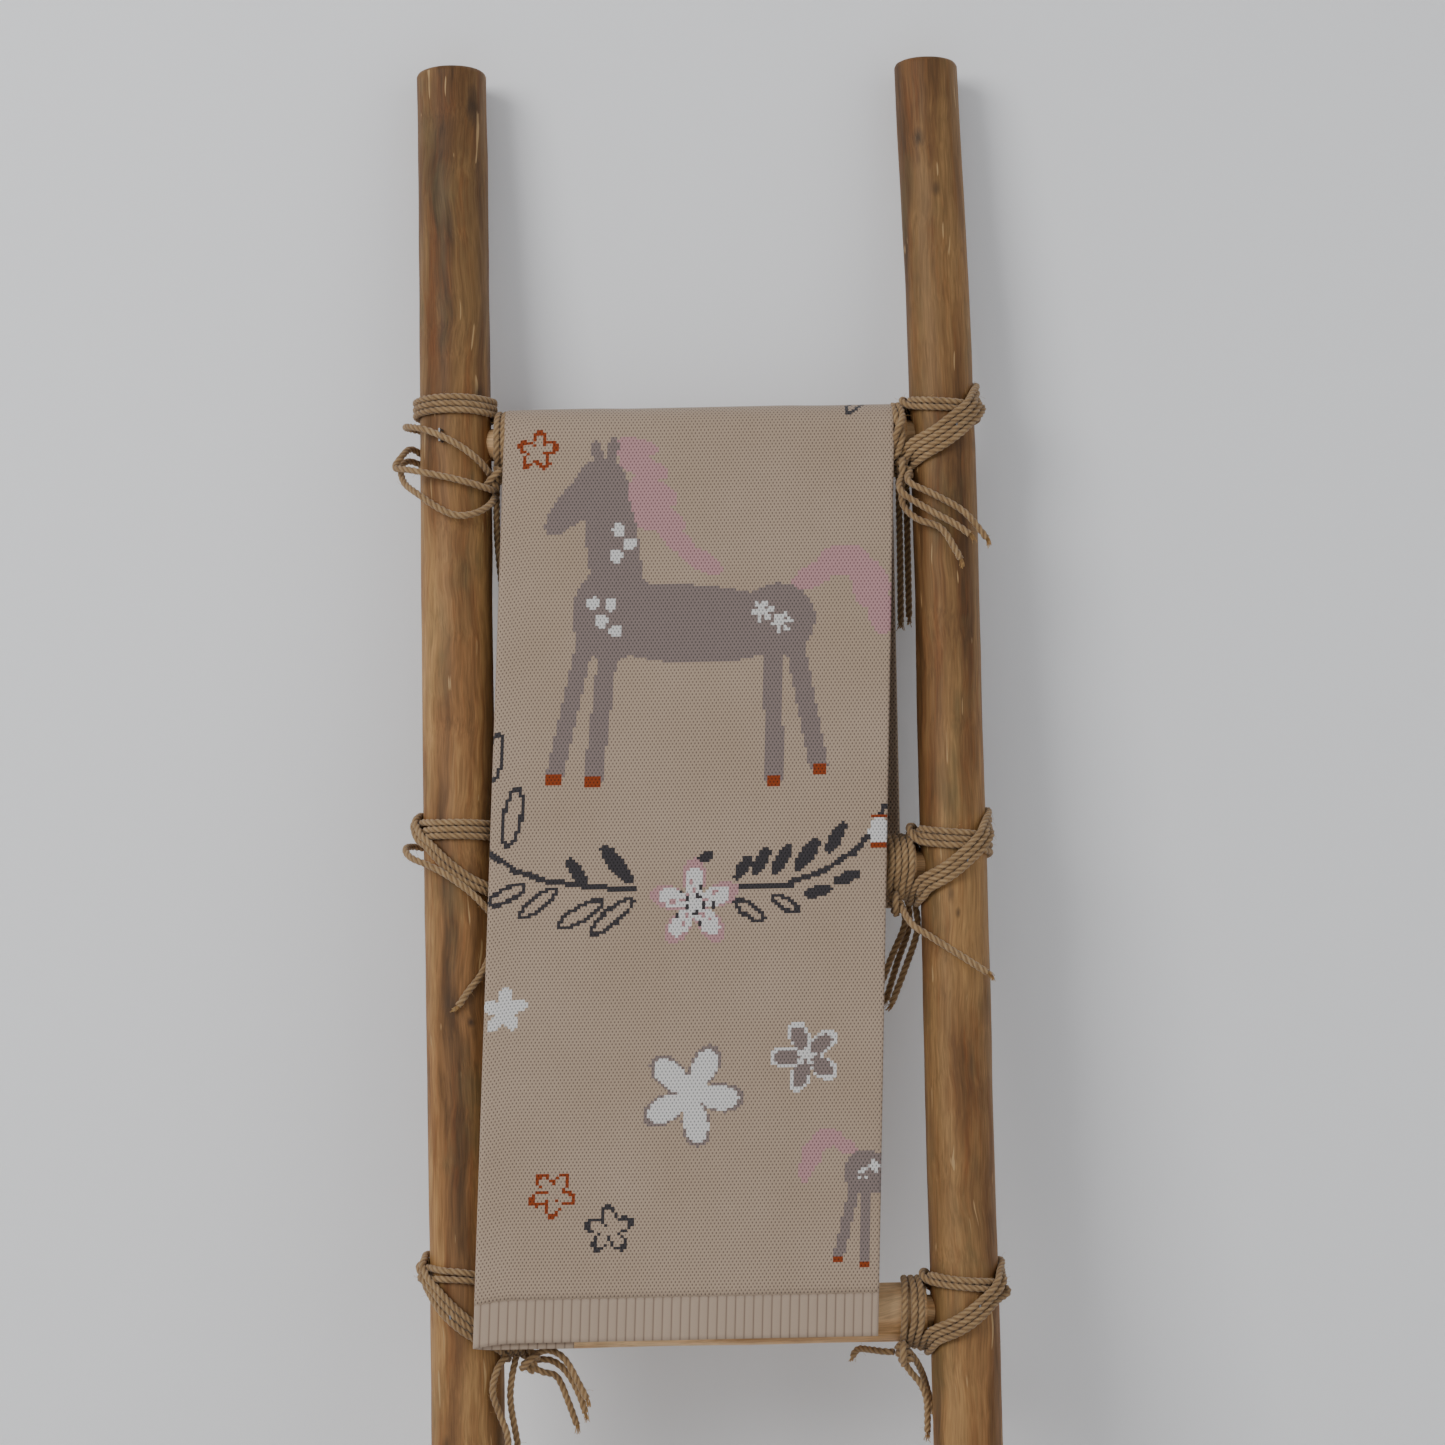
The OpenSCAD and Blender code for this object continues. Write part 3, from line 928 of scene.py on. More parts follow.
    def _birdseye(self, tree: Tree, uv: Socket) -> tuple[Socket, Socket]:
        """Adds the staggered dots between stitches.

        Args:
            tree: The material's tree.
            uv: The cloth's own map, in metres.

        Returns:
            How much of a dot is at each point, and the height of the stitches.
        """
        scaled = add(
            tree, "VectorMath.MULTIPLY", uv,
            (math.tau * 1000 / self.dot_across, math.tau * 1000 / self.dot_along, 1)
        )
        parts = add(tree, "SeparateXYZ", scaled, out=None)
        across = add(tree, "Math.COSINE", parts.outputs[0])
        along = add(tree, "Math.COSINE", parts.outputs[1])
        lattice = add(tree, "Math.MULTIPLY", across, along)
        dots = add(tree, "MapRange", lattice, 0.25, 0.75)
        height = add(tree, "Math.MULTIPLY", lattice, -1.0)
        return dots, height

    def _group(self, name: str, sizes: dict[str, str]) -> tuple[Tree, Node]:
        """Starts a group that measures a place against an outline.

        Args:
            name: The group's name.
            sizes: Name and socket type of each input after the place.

        Returns:
            The group and its inputs.
        """
        group = bpy.data.node_groups.new(name, "ShaderNodeTree")
        for label, kind in {"Place": "Vector", **sizes}.items():
            group.interface.new_socket(label, in_out="INPUT", socket_type=f"NodeSocket{kind}")
        group.interface.new_socket("Far", in_out="OUTPUT", socket_type="NodeSocketFloat")
        return group, add(group, "GroupInput", out=None)

    def _bar(self) -> Tree:
        """Returns the group for a bar, measured along its two axes."""
        labels = ("Across", "Along")
        group, given = self._group(
            "bar",
            {n + end: kind for n in labels for end, kind in (("", "Vector"), (" Middle", "Float"))}
        )
        sides = []
        for label in labels:
            dot = add(
                group, "VectorMath.DOT_PRODUCT", given.outputs["Place"], given.outputs[label],
                out="Value"
            )
            off = add(group, "Math.SUBTRACT", dot, given.outputs[label + " Middle"])
            sides.append(add(group, "Math.ABSOLUTE", off))
        far = add(group, "Math.MAXIMUM", sides[0], sides[1])
        add(group, "GroupOutput", far, out=None)
        return group

    def _bloom(self) -> Tree:
        """Returns the group for a flower: rounded petals about a middle."""
        group, given = self._group(
            "bloom", dict.fromkeys(("Half Petals", "Phase", "Cleft", "Rise"), "Float")
        )
        place = given.outputs["Place"]
        x, y = (
            add(group, "VectorMath.DOT_PRODUCT", place, axis, out="Value")
            for axis in ((1, 0, 0), (0, 1, 0))
        )
        wave = add(group, "Math.ARCTAN2", y, x)
        wave = add(
            group, "Math.MULTIPLY_ADD", wave, given.outputs["Half Petals"], given.outputs["Phase"]
        )
        for operation in ("COSINE", "ABSOLUTE"):
            wave = add(group, "Math", wave, operation=operation)
        edge = add(group, "Math.MULTIPLY_ADD", wave, given.outputs["Rise"], given.outputs["Cleft"])
        length = add(group, "VectorMath.LENGTH", place, out="Value")
        far = add(group, "Math.DIVIDE", length, edge)
        add(group, "GroupOutput", far, out=None)
        return group


@dataclass(frozen=True)
class RibKnit:
    """Cotton rib of the hems: flat wales with narrow grooves, a shade warmer than the body, with
    painted shade in the grooves.
    """

    name: str = "ribbed_cotton_hem"
    wale: float = 6.0

    def material(self) -> Material:
        """Returns the rib's material; the wales themselves are in the mesh."""
        material, tree, shader = surface(self.name)
        uv = add(tree, "UVMap", uv_map="UVMap")
        parts = add(tree, "SeparateXYZ", uv, out=None)
        turns = add(tree, "Math.MULTIPLY", parts.outputs[0], math.pi * 1000 / self.wale)
        # Painted shade: the colour darkens towards the bottom of each groove between the wales.
        groove = add(tree, "Math.ABSOLUTE", add(tree, "Math.SINE", turns))
        colour = set_stops(
            add(tree, "ValToRGB", Fac=groove, out=None),
            [(0.0, "#7A6455"), (0.22, "#A08B78"), (0.5, "#B19B87")],
        )
        loops = add(tree, "VectorMath.MULTIPLY", uv, (math.tau / 0.0012, math.tau / 0.0014, 1))
        cells = add(tree, "SeparateXYZ", loops, out=None)
        rows = add(tree, "Math.SINE", cells.outputs[1])
        cols = add(tree, "Math.SINE", cells.outputs[0])
        knit = add(tree, "Math.MULTIPLY", rows, cols)
        # Painted shade: the colour dips between the knitted loops, where the bump sinks.
        shade = add(tree, "MapRange", knit, -1.0, 1.0, 0.93, 1.04)
        colour = add(tree, "VectorMath.SCALE", colour, Scale=shade)
        bump = add(tree, "Bump", Height=knit, Strength=0.4, Distance=0.0003)
        set_inputs(
            shader, {"Base Color": colour, "Roughness": 0.96, "Sheen Weight": 0.2, "Normal": bump}
        )
        return material


# ---- The ladder ----


@dataclass(frozen=True)
class LadderPlane:
    """Sizes of the ladder and its leaning plane, the same as the CAD model's."""

    pole_len: float = 1500.0
    pole_gap: float = 330.0
    lean: float = 7.5
    top_rung_down: float = 264.0
    rung_pitch: float = 298.0
    foot_r: tuple[float, float] = (25.0, 23.8)
    head_r: tuple[float, float] = (24.2, 21.8)
    thin_rung_r: float = 18.0
    thick_rung_r: float = 19.7
    shoulder_gap: float = 3.0
    tenon_r: float = 11.0
    tenon_in: float = 26.0
    twine_d: float = 4.9
    left_bow: tuple = ((0, 0), (400, 1), (700, 0), (1000, -1), (1250, -0.5), (1500, 0))
    right_bow: tuple = (
        (0, 0), (300, 1.5), (700, 3.5), (1000, 4), (1180, 5.5), (1350, 4), (1500, 0)
    )
    bow_reach: float = 50.0

    @property
    def foot_y(self) -> float:
        """The feet's place in y, in millimetres."""
        return -self.pole_len * math.sin(math.radians(self.lean)) / 2

    def world(self, points: np.ndarray | tuple) -> np.ndarray:
        """Turns points (x, n, u) of the ladder's plane, in mm, into metres in the shared frame."""
        p = np.asarray(points, float)
        c, s = math.cos(math.radians(self.lean)), math.sin(math.radians(self.lean))
        x, n, u = p[..., 0], p[..., 1], p[..., 2]
        return np.stack([x, self.foot_y + n * c + u * s, -n * s + u * c], -1) * MM

    def turned(self, point: tuple[float, float, float]) -> tuple[float, float, float]:
        """Returns where a point of the plane lies once the lean has been turned away, in metres."""
        x, y, z = self.world(point)
        c, s = math.cos(math.radians(self.lean)), math.sin(math.radians(self.lean))
        return float(x), float(y * c - z * s), float(y * s + z * c)

    def rung_u(self, i: int) -> float:
        """Returns the height of rung i, counted from 1 at the top, along the poles."""
        return self.pole_len - self.top_rung_down - (i - 1) * self.rung_pitch

    def rung_r(self, i: int) -> float:
        """Returns the radius of rung i."""
        return self.thin_rung_r if i <= 2 else self.thick_rung_r

    def pole_x(self, side: int, u: np.ndarray | float) -> np.ndarray:
        """Returns a pole's axis in x at the height u."""
        table = np.asarray(self.left_bow if side == LEFT else self.right_bow, float)
        near = (u - self.bow_reach, u + 0, u + self.bow_reach)
        bow = sum(np.interp(at, table[:, 0], table[:, 1]) for at in near) / len(near)
        return side * self.pole_gap / 2 + bow

    def pole_r(self, side: int, u: np.ndarray | float) -> np.ndarray:
        """Returns a pole's radius at the height u."""
        k = 0 if side == LEFT else 1
        return self.foot_r[k] + (self.head_r[k] - self.foot_r[k]) * np.asarray(u) / self.pole_len

    def inner_x(self, side: int, u: float) -> float:
        """Returns the x of a pole's inner surface at the height u."""
        return float(self.pole_x(side, u) - side * self.pole_r(side, u))


@dataclass
class Poles:
    """The two sapling poles, with knots that stand a little proud."""

    plane: LadderPlane
    columns: int = 72
    ring_step: float = 4.0
    head_edge: float = 2.5
    head_lip: float = 0.7
    level_foot: float = 60.0
    knots: dict[int, tuple[Knot, ...]] = field(
        default_factory=lambda: {
            LEFT: (
                Knot(-150, -18, 1471, 7, 17, 0.75),
                Knot(-166, -24, 1382, 5, 26, 0.5),
                Knot(-149, -17, 1268, 7, 10, 0.7),
                Knot(-172, -23, 852, 9, 13, 0.45),
                Knot(-158, -24, 838, 3.5, 4, 0.8),
                Knot(-178, -20, 560, 4, 7, 0.6),
                Knot(-160, 22, 1100, 8, 12, 0.7),
                Knot(-170, 23, 420, 9, 14, 0.7),
            ),
            RIGHT: (
                Knot(158, -20, 1442, 5, 9, 0.8),
                Knot(170, -21, 1405, 4, 7, 0.6),
                Knot(189, -9, 1228, 4, 8, 0.6),
                Knot(166, -22, 918, 3, 9, 0.6),
                Knot(170, -22, 905, 2.5, 4, 0.85),
                Knot(176, -21, 800, 3, 30, 0.5),
                Knot(168, 21, 1150, 8, 11, 0.7),
                Knot(160, 20, 500, 8, 13, 0.7),
            ),
        }
    )

    def build(self, finish: SaplingWood, end: Material) -> list[Piece]:
        """Makes both poles.

        Args:
            finish: The wood.
            end: The sawn ends' material.

        Returns:
            The left and the right pole.
        """
        made = []
        for side, node in ((LEFT, "left_pole"), (RIGHT, "right_pole")):
            wood = SaplingWood(f"{finish.name}_{node}").material(self.knots[side], self.plane)
            pole = self._pole(side, node + "_peeled", [wood, end])
            declare(pole, LADDER_BODY, node)
            made.append(pole)
        return made

    def _pole(self, side: int, name: str, materials: list[Material]) -> Piece:
        """Makes one pole, its foot cut level with the floor and its head sawn square.

        Args:
            side: LEFT or RIGHT.
            name: The object's name.
            materials: The peeled side and the sawn end.

        Returns:
            The pole.
        """
        plane = self.plane
        top = plane.pole_len
        sawn = [top - self.head_edge, top - self.head_lip, top]
        u = np.concatenate([np.arange(0, top - 3, self.ring_step), sawn])
        angle = np.linspace(0, math.tau, self.columns, endpoint=False)
        uu, aa = np.meshgrid(u, angle, indexing="ij")
        r = plane.pole_r(side, uu) + self._relief(side, uu, aa)
        r = r - np.where(uu == top, 2.2, 0) - np.where(uu == top - self.head_lip, 0.9, 0)
        x = plane.pole_x(side, uu) + r * np.cos(aa)
        n = r * np.sin(aa)
        height = uu + n * math.tan(math.radians(plane.lean)) * np.clip(
            1 - uu / self.level_foot, 0, 1
        )
        rows = plane.world(np.stack([x, n, height], -1))
        rows[0, :, 2] = 0.0
        turns = np.arange(self.columns + 1) / self.columns
        uv = np.stack(np.broadcast_arrays(turns[None, :], u[:, None] * MM), -1)
        return face_outwards(grid_mesh(name, rows, uv, True, materials, caps=True))

    def _relief(self, side: int, u: np.ndarray, angle: np.ndarray) -> np.ndarray:
        """Gives the unevenness of a hand-peeled pole.

        Args:
            side: LEFT or RIGHT.
            u: Heights along the pole.
            angle: Angles round it.

        Returns:
            How far each point stands out, in millimetres.
        """
        out = np.zeros_like(u)
        for index in np.ndindex(u.shape):
            c, s, v = math.cos(angle[index]), math.sin(angle[index]), u[index]
            out[index] = 0.75 * noise.noise((c * 0.7 + side * 9, s * 0.7, v / 130))
            out[index] += 0.35 * noise.noise((c * 2.4, s * 2.4 + side * 5, v / 46))
            out[index] += 0.14 * noise.noise((c * 7, s * 7, v / 30 + side * 3))
        for knot in self.knots[side]:
            axis = self.plane.pole_x(side, knot.u)
            at = math.atan2(knot.n, knot.x - axis)
            gap = np.abs((angle - at + math.pi) % math.tau - math.pi) * 23
            far = (gap / (knot.across * 1.6)) ** 2 + ((u - knot.u) / (knot.along * 1.3)) ** 2
            out += 1.1 * knot.depth * np.exp(-far * 1.4) - 0.9 * knot.depth * np.exp(-far * 9)
        return out


@dataclass
class Rungs:
    """The four peeled rungs, each a barrel with shoulders and tenons."""

    plane: LadderPlane
    names: tuple[str, ...] = ("top_rung", "second_rung", "third_rung", "bottom_rung")
    columns: int = 64

    def build(self, wood: Material) -> list[Piece]:
        """Makes the rungs in the wood and returns them."""
        made = []
        for i, node in enumerate(self.names, start=1):
            rung = self._rung(i, node + "_peeled", wood)
            declare(rung, LADDER_BODY, node)
            made.append(rung)
        return made

    def _rung(self, i: int, name: str, wood: Material) -> Piece:
        """Makes one rung.

        Args:
            i: Which rung, from 1 at the top.
            name: The object's name.
            wood: Its material.

        Returns:
            The rung.
        """
        plane = self.plane
        u0, r0 = plane.rung_u(i), plane.rung_r(i)
        start, end = plane.inner_x(LEFT, u0), plane.inner_x(RIGHT, u0)
        gap, tenon = plane.shoulder_gap, plane.tenon_r
        ends = [
            (start - plane.tenon_in, tenon - 0.8), (start - plane.tenon_in + 1, tenon),
            (start + gap - 0.6, tenon)
        ]
        barrel = [
            (start + gap, r0 - 2.4), (start + gap + 1.2, r0 - 1.6), (start + gap + 6, r0 - 0.2)
        ]
        barrel += [(x, r0) for x in np.linspace(start + gap + 9, end - gap - 9, 60)]
        barrel += [(start + end - x, r) for x, r in reversed(barrel[:3])]
        profile = ends + barrel + [(start + end - x, r) for x, r in reversed(ends)]
        x = np.array([p[0] for p in profile])[:, None]
        radius = np.array([p[1] for p in profile])[:, None]
        angle = np.linspace(0, math.tau, self.columns, endpoint=False)[None, :]
        rough = np.zeros((len(profile), self.columns))
        for row, col in np.ndindex(rough.shape):
            c, s = math.cos(angle[0, col]), math.sin(angle[0, col])
            rough[row, col] = 0.35 * noise.noise((x[row, 0] / 60, c * 1.2 + i * 7, s * 1.2)) - 0.15
        rough *= np.where(radius > tenon + 1, 1, 0)
        r = radius + rough
        points = np.stack(
            [np.broadcast_to(x, r.shape), -r * np.cos(angle), u0 + r * np.sin(angle)], -1
        )
        turns = np.arange(self.columns + 1) / self.columns
        uv = np.stack(np.broadcast_arrays(turns[None, :], x * MM), -1)
        return face_outwards(grid_mesh(name, plane.world(points), uv, True, [wood], caps=True))


# ---- The twine ----


class TwineTrees:
    """Geometry Nodes trees that turn plain lines into laid twine and its loose fibres."""

    PLIES = 3
    LOBES = 15
    STRAY_THICK = 0.00016
    FRAYED_THICK = 0.0005

    @staticmethod
    def _start(name: str, sizes: dict[str, str]) -> tuple[Tree, Node]:
        """Starts a tree.

        Args:
            name: The tree's name.
            sizes: Name and socket type of each input after the geometry.

        Returns:
            The tree and its inputs.
        """
        tree = bpy.data.node_groups.new(name, "GeometryNodeTree")
        tree.interface.new_socket("Geometry", in_out="INPUT", socket_type="NodeSocketGeometry")
        for label, kind in sizes.items():
            tree.interface.new_socket(label, in_out="INPUT", socket_type=f"NodeSocket{kind}")
        tree.interface.new_socket("Geometry", in_out="OUTPUT", socket_type="NodeSocketGeometry")
        return tree, add(tree, "GroupInput", out=None)

    @staticmethod
    def _end(tree: Tree, geometry: Socket, material: Socket) -> None:
        """Ends a tree: real meshes, a material and the output.

        Args:
            tree: The tree.
            geometry: What it made.
            material: Its material input.
        """
        real = add(tree, "RealizeInstances", geometry)
        painted = add(tree, "SetMaterial", Geometry=real, Material=material)
        add(tree, "GroupOutput", painted, out=None)

    @classmethod
    def laid_twine(cls) -> Tree:
        """Returns the tree that lays three plies along each curve.

        A three-lobed section turns once every Lay Length. Its place round and along
        the twine is stored as the UV map.
        """
        tree, given = cls._start(
            "laid_twine",
            {
                "Diameter": "Float", "Lay Length": "Float", "Ring Spacing": "Float",
                "Groove": "Float", "Twine": "Material"
            },
        )
        even = add(
            tree, "ResampleCurve", Curve=given.outputs[0], Length=given.outputs["Ring Spacing"],
            mode="LENGTH"
        )
        along = add(tree, "SplineParameter", out="Length")
        turns = add(tree, "Math.DIVIDE", along, given.outputs["Lay Length"])
        tilt = add(tree, "Math.MULTIPLY", turns, math.tau)
        twisted = add(tree, "SetCurveTilt", Curve=even, Tilt=tilt)
        kept = add(
            tree, "StoreNamedAttribute", Geometry=twisted, Name="along", Value=along,
            data_type="FLOAT", domain="POINT",
        )
        radius = add(tree, "Math.MULTIPLY", given.outputs["Diameter"], 0.5)
        circle = add(
            tree, "CurvePrimitiveCircle", Resolution=cls.LOBES, Radius=radius, mode="RADIUS"
        )
        share = add(tree, "Math.DIVIDE", add(tree, "InputIndex"), cls.LOBES)
        wave = add(tree, "Math.MULTIPLY", share, cls.PLIES * math.pi)
        wave = add(tree, "Math.ABSOLUTE", add(tree, "Math.COSINE", wave))
        shy = add(tree, "Math.SUBTRACT", wave, 1.0)
        factor = add(tree, "Math.MULTIPLY_ADD", shy, given.outputs["Groove"], 1.0)
        place = add(tree, "InputPosition")
        drawn = add(tree, "VectorMath.SCALE", place, Scale=factor)
        section = add(tree, "SetPosition", Geometry=circle, Position=drawn)
        section = add(
            tree, "StoreNamedAttribute", Geometry=section, Name="around", Value=share,
            data_type="FLOAT", domain="POINT",
        )
        mesh = add(tree, "CurveToMesh", Curve=kept, Profile_Curve=section, Fill_Caps=True)
        names = [
            add(tree, "InputNamedAttribute", Name=n, data_type="FLOAT") for n in ("around", "along")
        ]
        uv = add(tree, "CombineXYZ", names[0], names[1])
        mapped = add(
            tree, "StoreNamedAttribute", Geometry=mesh, Name="UVMap", Value=uv, data_type="FLOAT2",
            domain="CORNER"
        )
        for name in ("around", "along"):
            mapped = add(tree, "RemoveAttribute", Geometry=mapped, Name=name)
        cls._end(tree, mapped, given.outputs["Twine"])
        return tree

    @classmethod
    def _fibre(cls, tree: Tree, length: Socket, thick: float) -> Socket:
        """Adds one bent fibre that stands on the origin.

        Args:
            tree: The tree.
            length: Its length.
            thick: Its thickness, in metres.

        Returns:
            The fibre's mesh.
        """
        tip = add(tree, "VectorMath.SCALE", (0.25, 0.1, 1.0), Scale=length)
        middle = add(tree, "VectorMath.SCALE", (-0.12, 0.08, 0.55), Scale=length)
        line = add(
            tree, "CurveQuadraticBezier", Resolution=5, Start=(0, 0, 0), Middle=middle, End=tip
        )
        ring = add(tree, "CurvePrimitiveCircle", Resolution=3, Radius=thick / 2, mode="RADIUS")
        return add(tree, "CurveToMesh", Curve=line, Profile_Curve=ring, Fill_Caps=True)

    @classmethod
    def stray_fibres(cls) -> Tree:
        """Returns the tree that scatters loose fibres over the twine's surface."""
        tree, given = cls._start(
            "stray_fibres",
            {"Density": "Float", "Fibre Length": "Float", "Seed": "Int", "Fibre": "Material"},
        )
        seed = given.outputs["Seed"]
        spread = add(
            tree, "DistributePointsOnFaces", Mesh=given.outputs[0],
            Density=given.outputs["Density"], Seed=seed, out=None,
        )
        loose = add(
            tree, "RandomValue", (-1, -1, -1), (1, 1, 1), Seed=seed, data_type="FLOAT_VECTOR"
        )
        loose = add(tree, "VectorMath.SCALE", loose, Scale=1.3)
        lean = add(tree, "VectorMath.ADD", spread.outputs["Normal"], loose)
        turn = add(tree, "AlignRotationToVector", Vector=lean, axis="Z")
        size = add(tree, "RandomValue", at={2: 0.45, 3: 1.0}, Seed=seed, data_type="FLOAT", out=1)
        fibre = cls._fibre(tree, given.outputs["Fibre Length"], cls.STRAY_THICK)
        placed = add(
            tree, "InstanceOnPoints", Points=spread.outputs["Points"], Instance=fibre,
            Rotation=turn, Scale=size,
        )
        cls._end(tree, placed, given.outputs["Fibre"])
        return tree

    @classmethod
    def frayed_end(cls) -> Tree:
        """Returns the tree that puts a tuft of fibres at each point, along its heading."""
        tree, given = cls._start(
            "frayed_end",
            {
                "Fibres": "Int", "Fibre Length": "Float", "Width": "Float", "Splay": "Float",
                "Seed": "Int", "Fibre": "Material"
            },
        )
        points = add(tree, "MeshToPoints", given.outputs[0])
        many = add(
            tree, "DuplicateElements", Geometry=points, Amount=given.outputs["Fibres"],
            domain="POINT"
        )
        seed = given.outputs["Seed"]
        jitter = [
            add(tree, "RandomValue", (-1, -1, -1), (1, 1, 1), Seed=s, data_type="FLOAT_VECTOR")
            for s in (seed, add(tree, "Math.ADD", seed, 7.0))
        ]
        offset = add(tree, "VectorMath.SCALE", jitter[0], Scale=given.outputs["Width"])
        spread = add(tree, "SetPosition", Geometry=many, Offset=offset)
        heading = add(tree, "InputNamedAttribute", Name="heading", data_type="FLOAT_VECTOR")
        splay = add(tree, "VectorMath.SCALE", jitter[1], Scale=given.outputs["Splay"])
        lean = add(tree, "VectorMath.ADD", heading, splay)
        turn = add(tree, "AlignRotationToVector", Vector=lean, axis="Z")
        size = add(tree, "RandomValue", at={2: 0.5, 3: 1.0}, Seed=seed, data_type="FLOAT", out=1)
        fibre = cls._fibre(tree, given.outputs["Fibre Length"], cls.FRAYED_THICK)
        placed = add(
            tree, "InstanceOnPoints", Points=spread, Instance=fibre, Rotation=turn, Scale=size
        )
        cls._end(tree, placed, given.outputs["Fibre"])
        return tree


@dataclass
class TwineShop:
    """Makes twine pieces from lines in the ladder's plane."""

    plane: LadderPlane
    twine: Material
    fibre: Material
    lay: float = 14.0
    ring: float = 1.25
    groove: float = 0.3
    laid_tree: Tree = field(init=False)
    frayed_tree: Tree = field(init=False)

    def __post_init__(self) -> None:
        """Builds the shared trees."""
        self.laid_tree = TwineTrees.laid_twine()
        self.frayed_tree = TwineTrees.frayed_end()

    def lay_up(
        self, name: str, lines: list[np.ndarray], swell: list[np.ndarray] | None = None
    ) -> Piece:
        """Lays twine along lines.

        Args:
            name: The piece's name.
            lines: Points of each line in metres, in the shared frame.
            swell: Radius factor at each point of each line.

        Returns:
            One mesh of all the lines' twine.
        """
        curve = bpy.data.curves.new(name, "CURVE")
        curve.dimensions = "3D"
        for k, line in enumerate(lines):
            spline = curve.splines.new("POLY")
            spline.points.add(len(line) - 1)
            spline.points.foreach_set("co", np.column_stack([line, np.ones(len(line))]).ravel())
            if swell is not None:
                spline.points.foreach_set("radius", swell[k])
        obj = link(bpy.data.objects.new(name, curve))
        sizes = {
            "Diameter": self.plane.twine_d * MM,
            "Lay Length": self.lay * MM,
            "Ring Spacing": self.ring * MM,
        }
        give_inputs(obj, self.laid_tree, {**sizes, "Groove": self.groove, "Twine": self.twine})
        made = bake_modifiers(obj)
        made.data.shade_smooth()
        return face_outwards(made)

    def tuft(self, name: str, end: np.ndarray, heading: np.ndarray, seed: int) -> Piece:
        """Makes the frayed tuft at a twine's end.

        Args:
            name: The tuft's name.
            end: Where it starts, in metres.
            heading: The way it points.
            seed: Seed of its fibres' spread.

        Returns:
            The tuft's mesh.
        """
        mesh = bpy.data.meshes.new(name)
        mesh.from_pydata([tuple(end)], [], [])
        mesh.attributes.new("heading", "FLOAT_VECTOR", "POINT").data[0].vector = tuple(heading)
        obj = link(bpy.data.objects.new(name, mesh))
        sizes = {"Fibres": 30, "Fibre Length": 0.0076, "Width": 0.0011, "Splay": 0.16}
        give_inputs(obj, self.frayed_tree, {**sizes, "Seed": seed, "Fibre": self.fibre})
        return bake_modifiers(obj)

    def loose_fibres(self, twines: list[Piece]) -> Piece:
        """Makes the loose fibres that stand off all the twine.

        Args:
            twines: The twine's meshes.

        Returns:
            One mesh of fibres.
        """
        work = bmesh.new()
        for twine in twines:
            work.from_mesh(twine.data)
        mesh = bpy.data.meshes.new("loose_jute_fibres")
        work.to_mesh(mesh)
        work.free()
        obj = link(bpy.data.objects.new("loose_jute_fibres", mesh))
        sizes = {"Density": 9000.0, "Fibre Length": 0.0048, "Seed": 3}
        give_inputs(obj, TwineTrees.stray_fibres(), {**sizes, "Fibre": self.fibre})
        made = bake_modifiers(obj)
        declare(made, LADDER_BODY)
        return made


def joined(first: Piece, second: Piece) -> Piece:
    """Joins the second mesh object into the first and returns the first."""
    with bpy.context.temp_override(active_object=first, selected_editable_objects=[first, second]):
        bpy.ops.object.join()
    return first


def winding(values: tuple[float, ...], steps: int) -> list[tuple[float, float]]:
    """Follows turns that each go from one value to the next, the last one level.

    Args:
        values: The value at the start of each turn.
        steps: Steps in a turn.

    Returns:
        The angle in its turn and the value at each step.
    """
    shares = [k / steps for k in range(steps)]
    pairs = zip(values, values[1:] + values[-1:])
    return [(math.tau * t, start + (end - start) * t) for start, end in pairs for t in shares]


class Pass(Enum):
    """Which way a turn of the lashing passes the rung."""

    OVER = 1
    UNDER = -1


